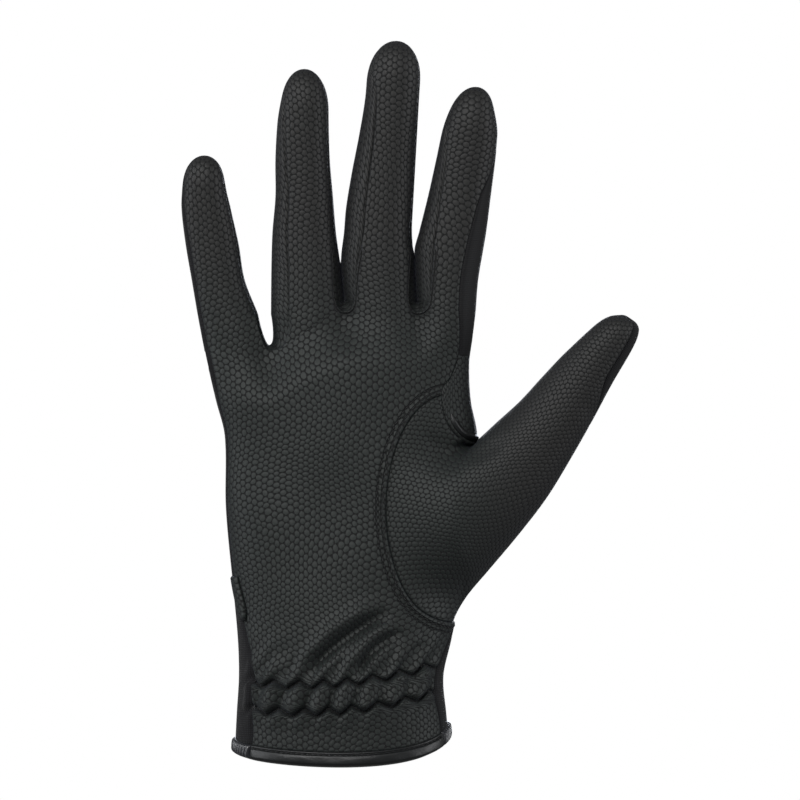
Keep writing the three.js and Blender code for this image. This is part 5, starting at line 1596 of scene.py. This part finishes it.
# %% Smooth leather, elastic and thread
def plain_finish(name, colour, rough, grain_scale=0.0, grain_depth=0.0, coat=0.0):
    """One colour and roughness, with a fine grain of so many waves a metre where it has one."""
    material, tree, shader = new_material(name)
    fill_inputs(tree, shader, {"Base Color": hex_colour(colour), "Roughness": rough})
    fill_inputs(tree, shader, {"Coat Weight": coat, "Coat Roughness": 0.3})
    if grain_scale:
        place = add_node(tree, "TexCoord").outputs["Object"]
        grain = add_node(tree, "TexNoise", {"Vector": place, "Scale": grain_scale, "Detail": 3.0})
        bump = add_node(tree, "Bump", {"Height": grain, "Distance": grain_depth})
        fill_inputs(tree, shader, {"Normal": bump})
    return material


finishes = {
    "embossed_leather": embossed_leather(),
    "back_fabric": back_fabric,
    "smooth_fabric": smooth_fabric,
    "binding_leather": plain_finish("binding_leather", "#0e1011", 0.42, 1400.0, 0.00008),
    "elastic": plain_finish("elastic", "#1a1b20", 0.3, 2500.0, 0.00005, coat=0.8),
    "thread": plain_finish("thread", "#0b0c0d", 0.6),
}
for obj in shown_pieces():
    obj.data.materials.clear()
    obj.data.materials.append(finishes[obj.get("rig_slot", "thread")])
print("finishes:", list(finishes))


# %% [markdown]
# ## Stage
# The photograph is a packshot: pure white behind, soft light from large panels on both sides and above.

# %% World and lights
GLOVE_MIDDLE = (20, 0, 110)

bpy.context.scene.view_settings.view_transform = "Standard"
world = bpy.data.worlds.new("studio")
bpy.context.scene.world = world
world.use_nodes = True
tree = world.node_tree
tree.nodes.clear()
to_camera = add_node(tree, "LightPath").outputs["Is Camera Ray"]
seen = add_node(tree, "Background", {"Color": (1.0, 1.0, 1.0, 1.0), "Strength": 1.0})
felt = add_node(tree, "Background", {"Color": (0.98, 0.99, 1.0, 1.0), "Strength": 0.14})
both = add_node(tree, "MixShader", {0: to_camera, 1: felt, 2: seen})
add_node(tree, "OutputWorld", {"Surface": both})


def softbox(name, place, width, height, power, colour=(1, 1, 1)):
    """A rectangular light in millimetres and watts that faces the glove's middle."""
    light = bpy.data.lights.new(name, "AREA")
    light.shape = "RECTANGLE"
    light.size, light.size_y = width / 1000, height / 1000
    light.energy, light.color = power, colour
    obj = bpy.data.objects.new(name, light)
    bpy.context.collection.objects.link(obj)
    obj.location = np.array(place) / 1000
    to = (np.array(GLOVE_MIDDLE) - np.array(place)).astype(float)
    obj.rotation_euler = Vector(to).to_track_quat("-Z", "Y").to_euler()
    print(f"{name}: {power} W, {np.linalg.norm(to) / 1000:.2f} m away")


softbox("light_key", (-350, -1250, 750), 1000, 800, 15.5)
softbox("light_left", (-900, -250, 300), 400, 900, 5, (0.95, 0.97, 1))
softbox("light_right", (950, -250, 250), 400, 900, 5, (0.97, 0.98, 1))
softbox("light_back", (150, 1400, 260), 900, 700, 9, (0.85, 0.9, 1))


# %% [markdown]
# The camera stands far off with a long lens, as for a packshot, so that near and far parts keep almost the
# same scale. Its place was found by laying the render over the photograph.

# %% Camera
CAMERA_X, CAMERA_Z, CAMERA_FAR, LENS, SENSOR = 18.5, 111.5, 1805.0, 250.0, 36.0

lens = bpy.data.cameras.new("camera")
lens.lens, lens.sensor_width = LENS, SENSOR
lens.clip_start, lens.clip_end = 0.1, 20.0
camera = bpy.data.objects.new("camera", lens)
bpy.context.collection.objects.link(camera)
camera.location = (CAMERA_X / 1000, -CAMERA_FAR / 1000, CAMERA_Z / 1000)
camera.rotation_euler = (np.pi / 2, 0, 0)
bpy.context.scene.camera = camera
print("the frame is", round(CAMERA_FAR * SENSOR / LENS), "mm wide at the glove")
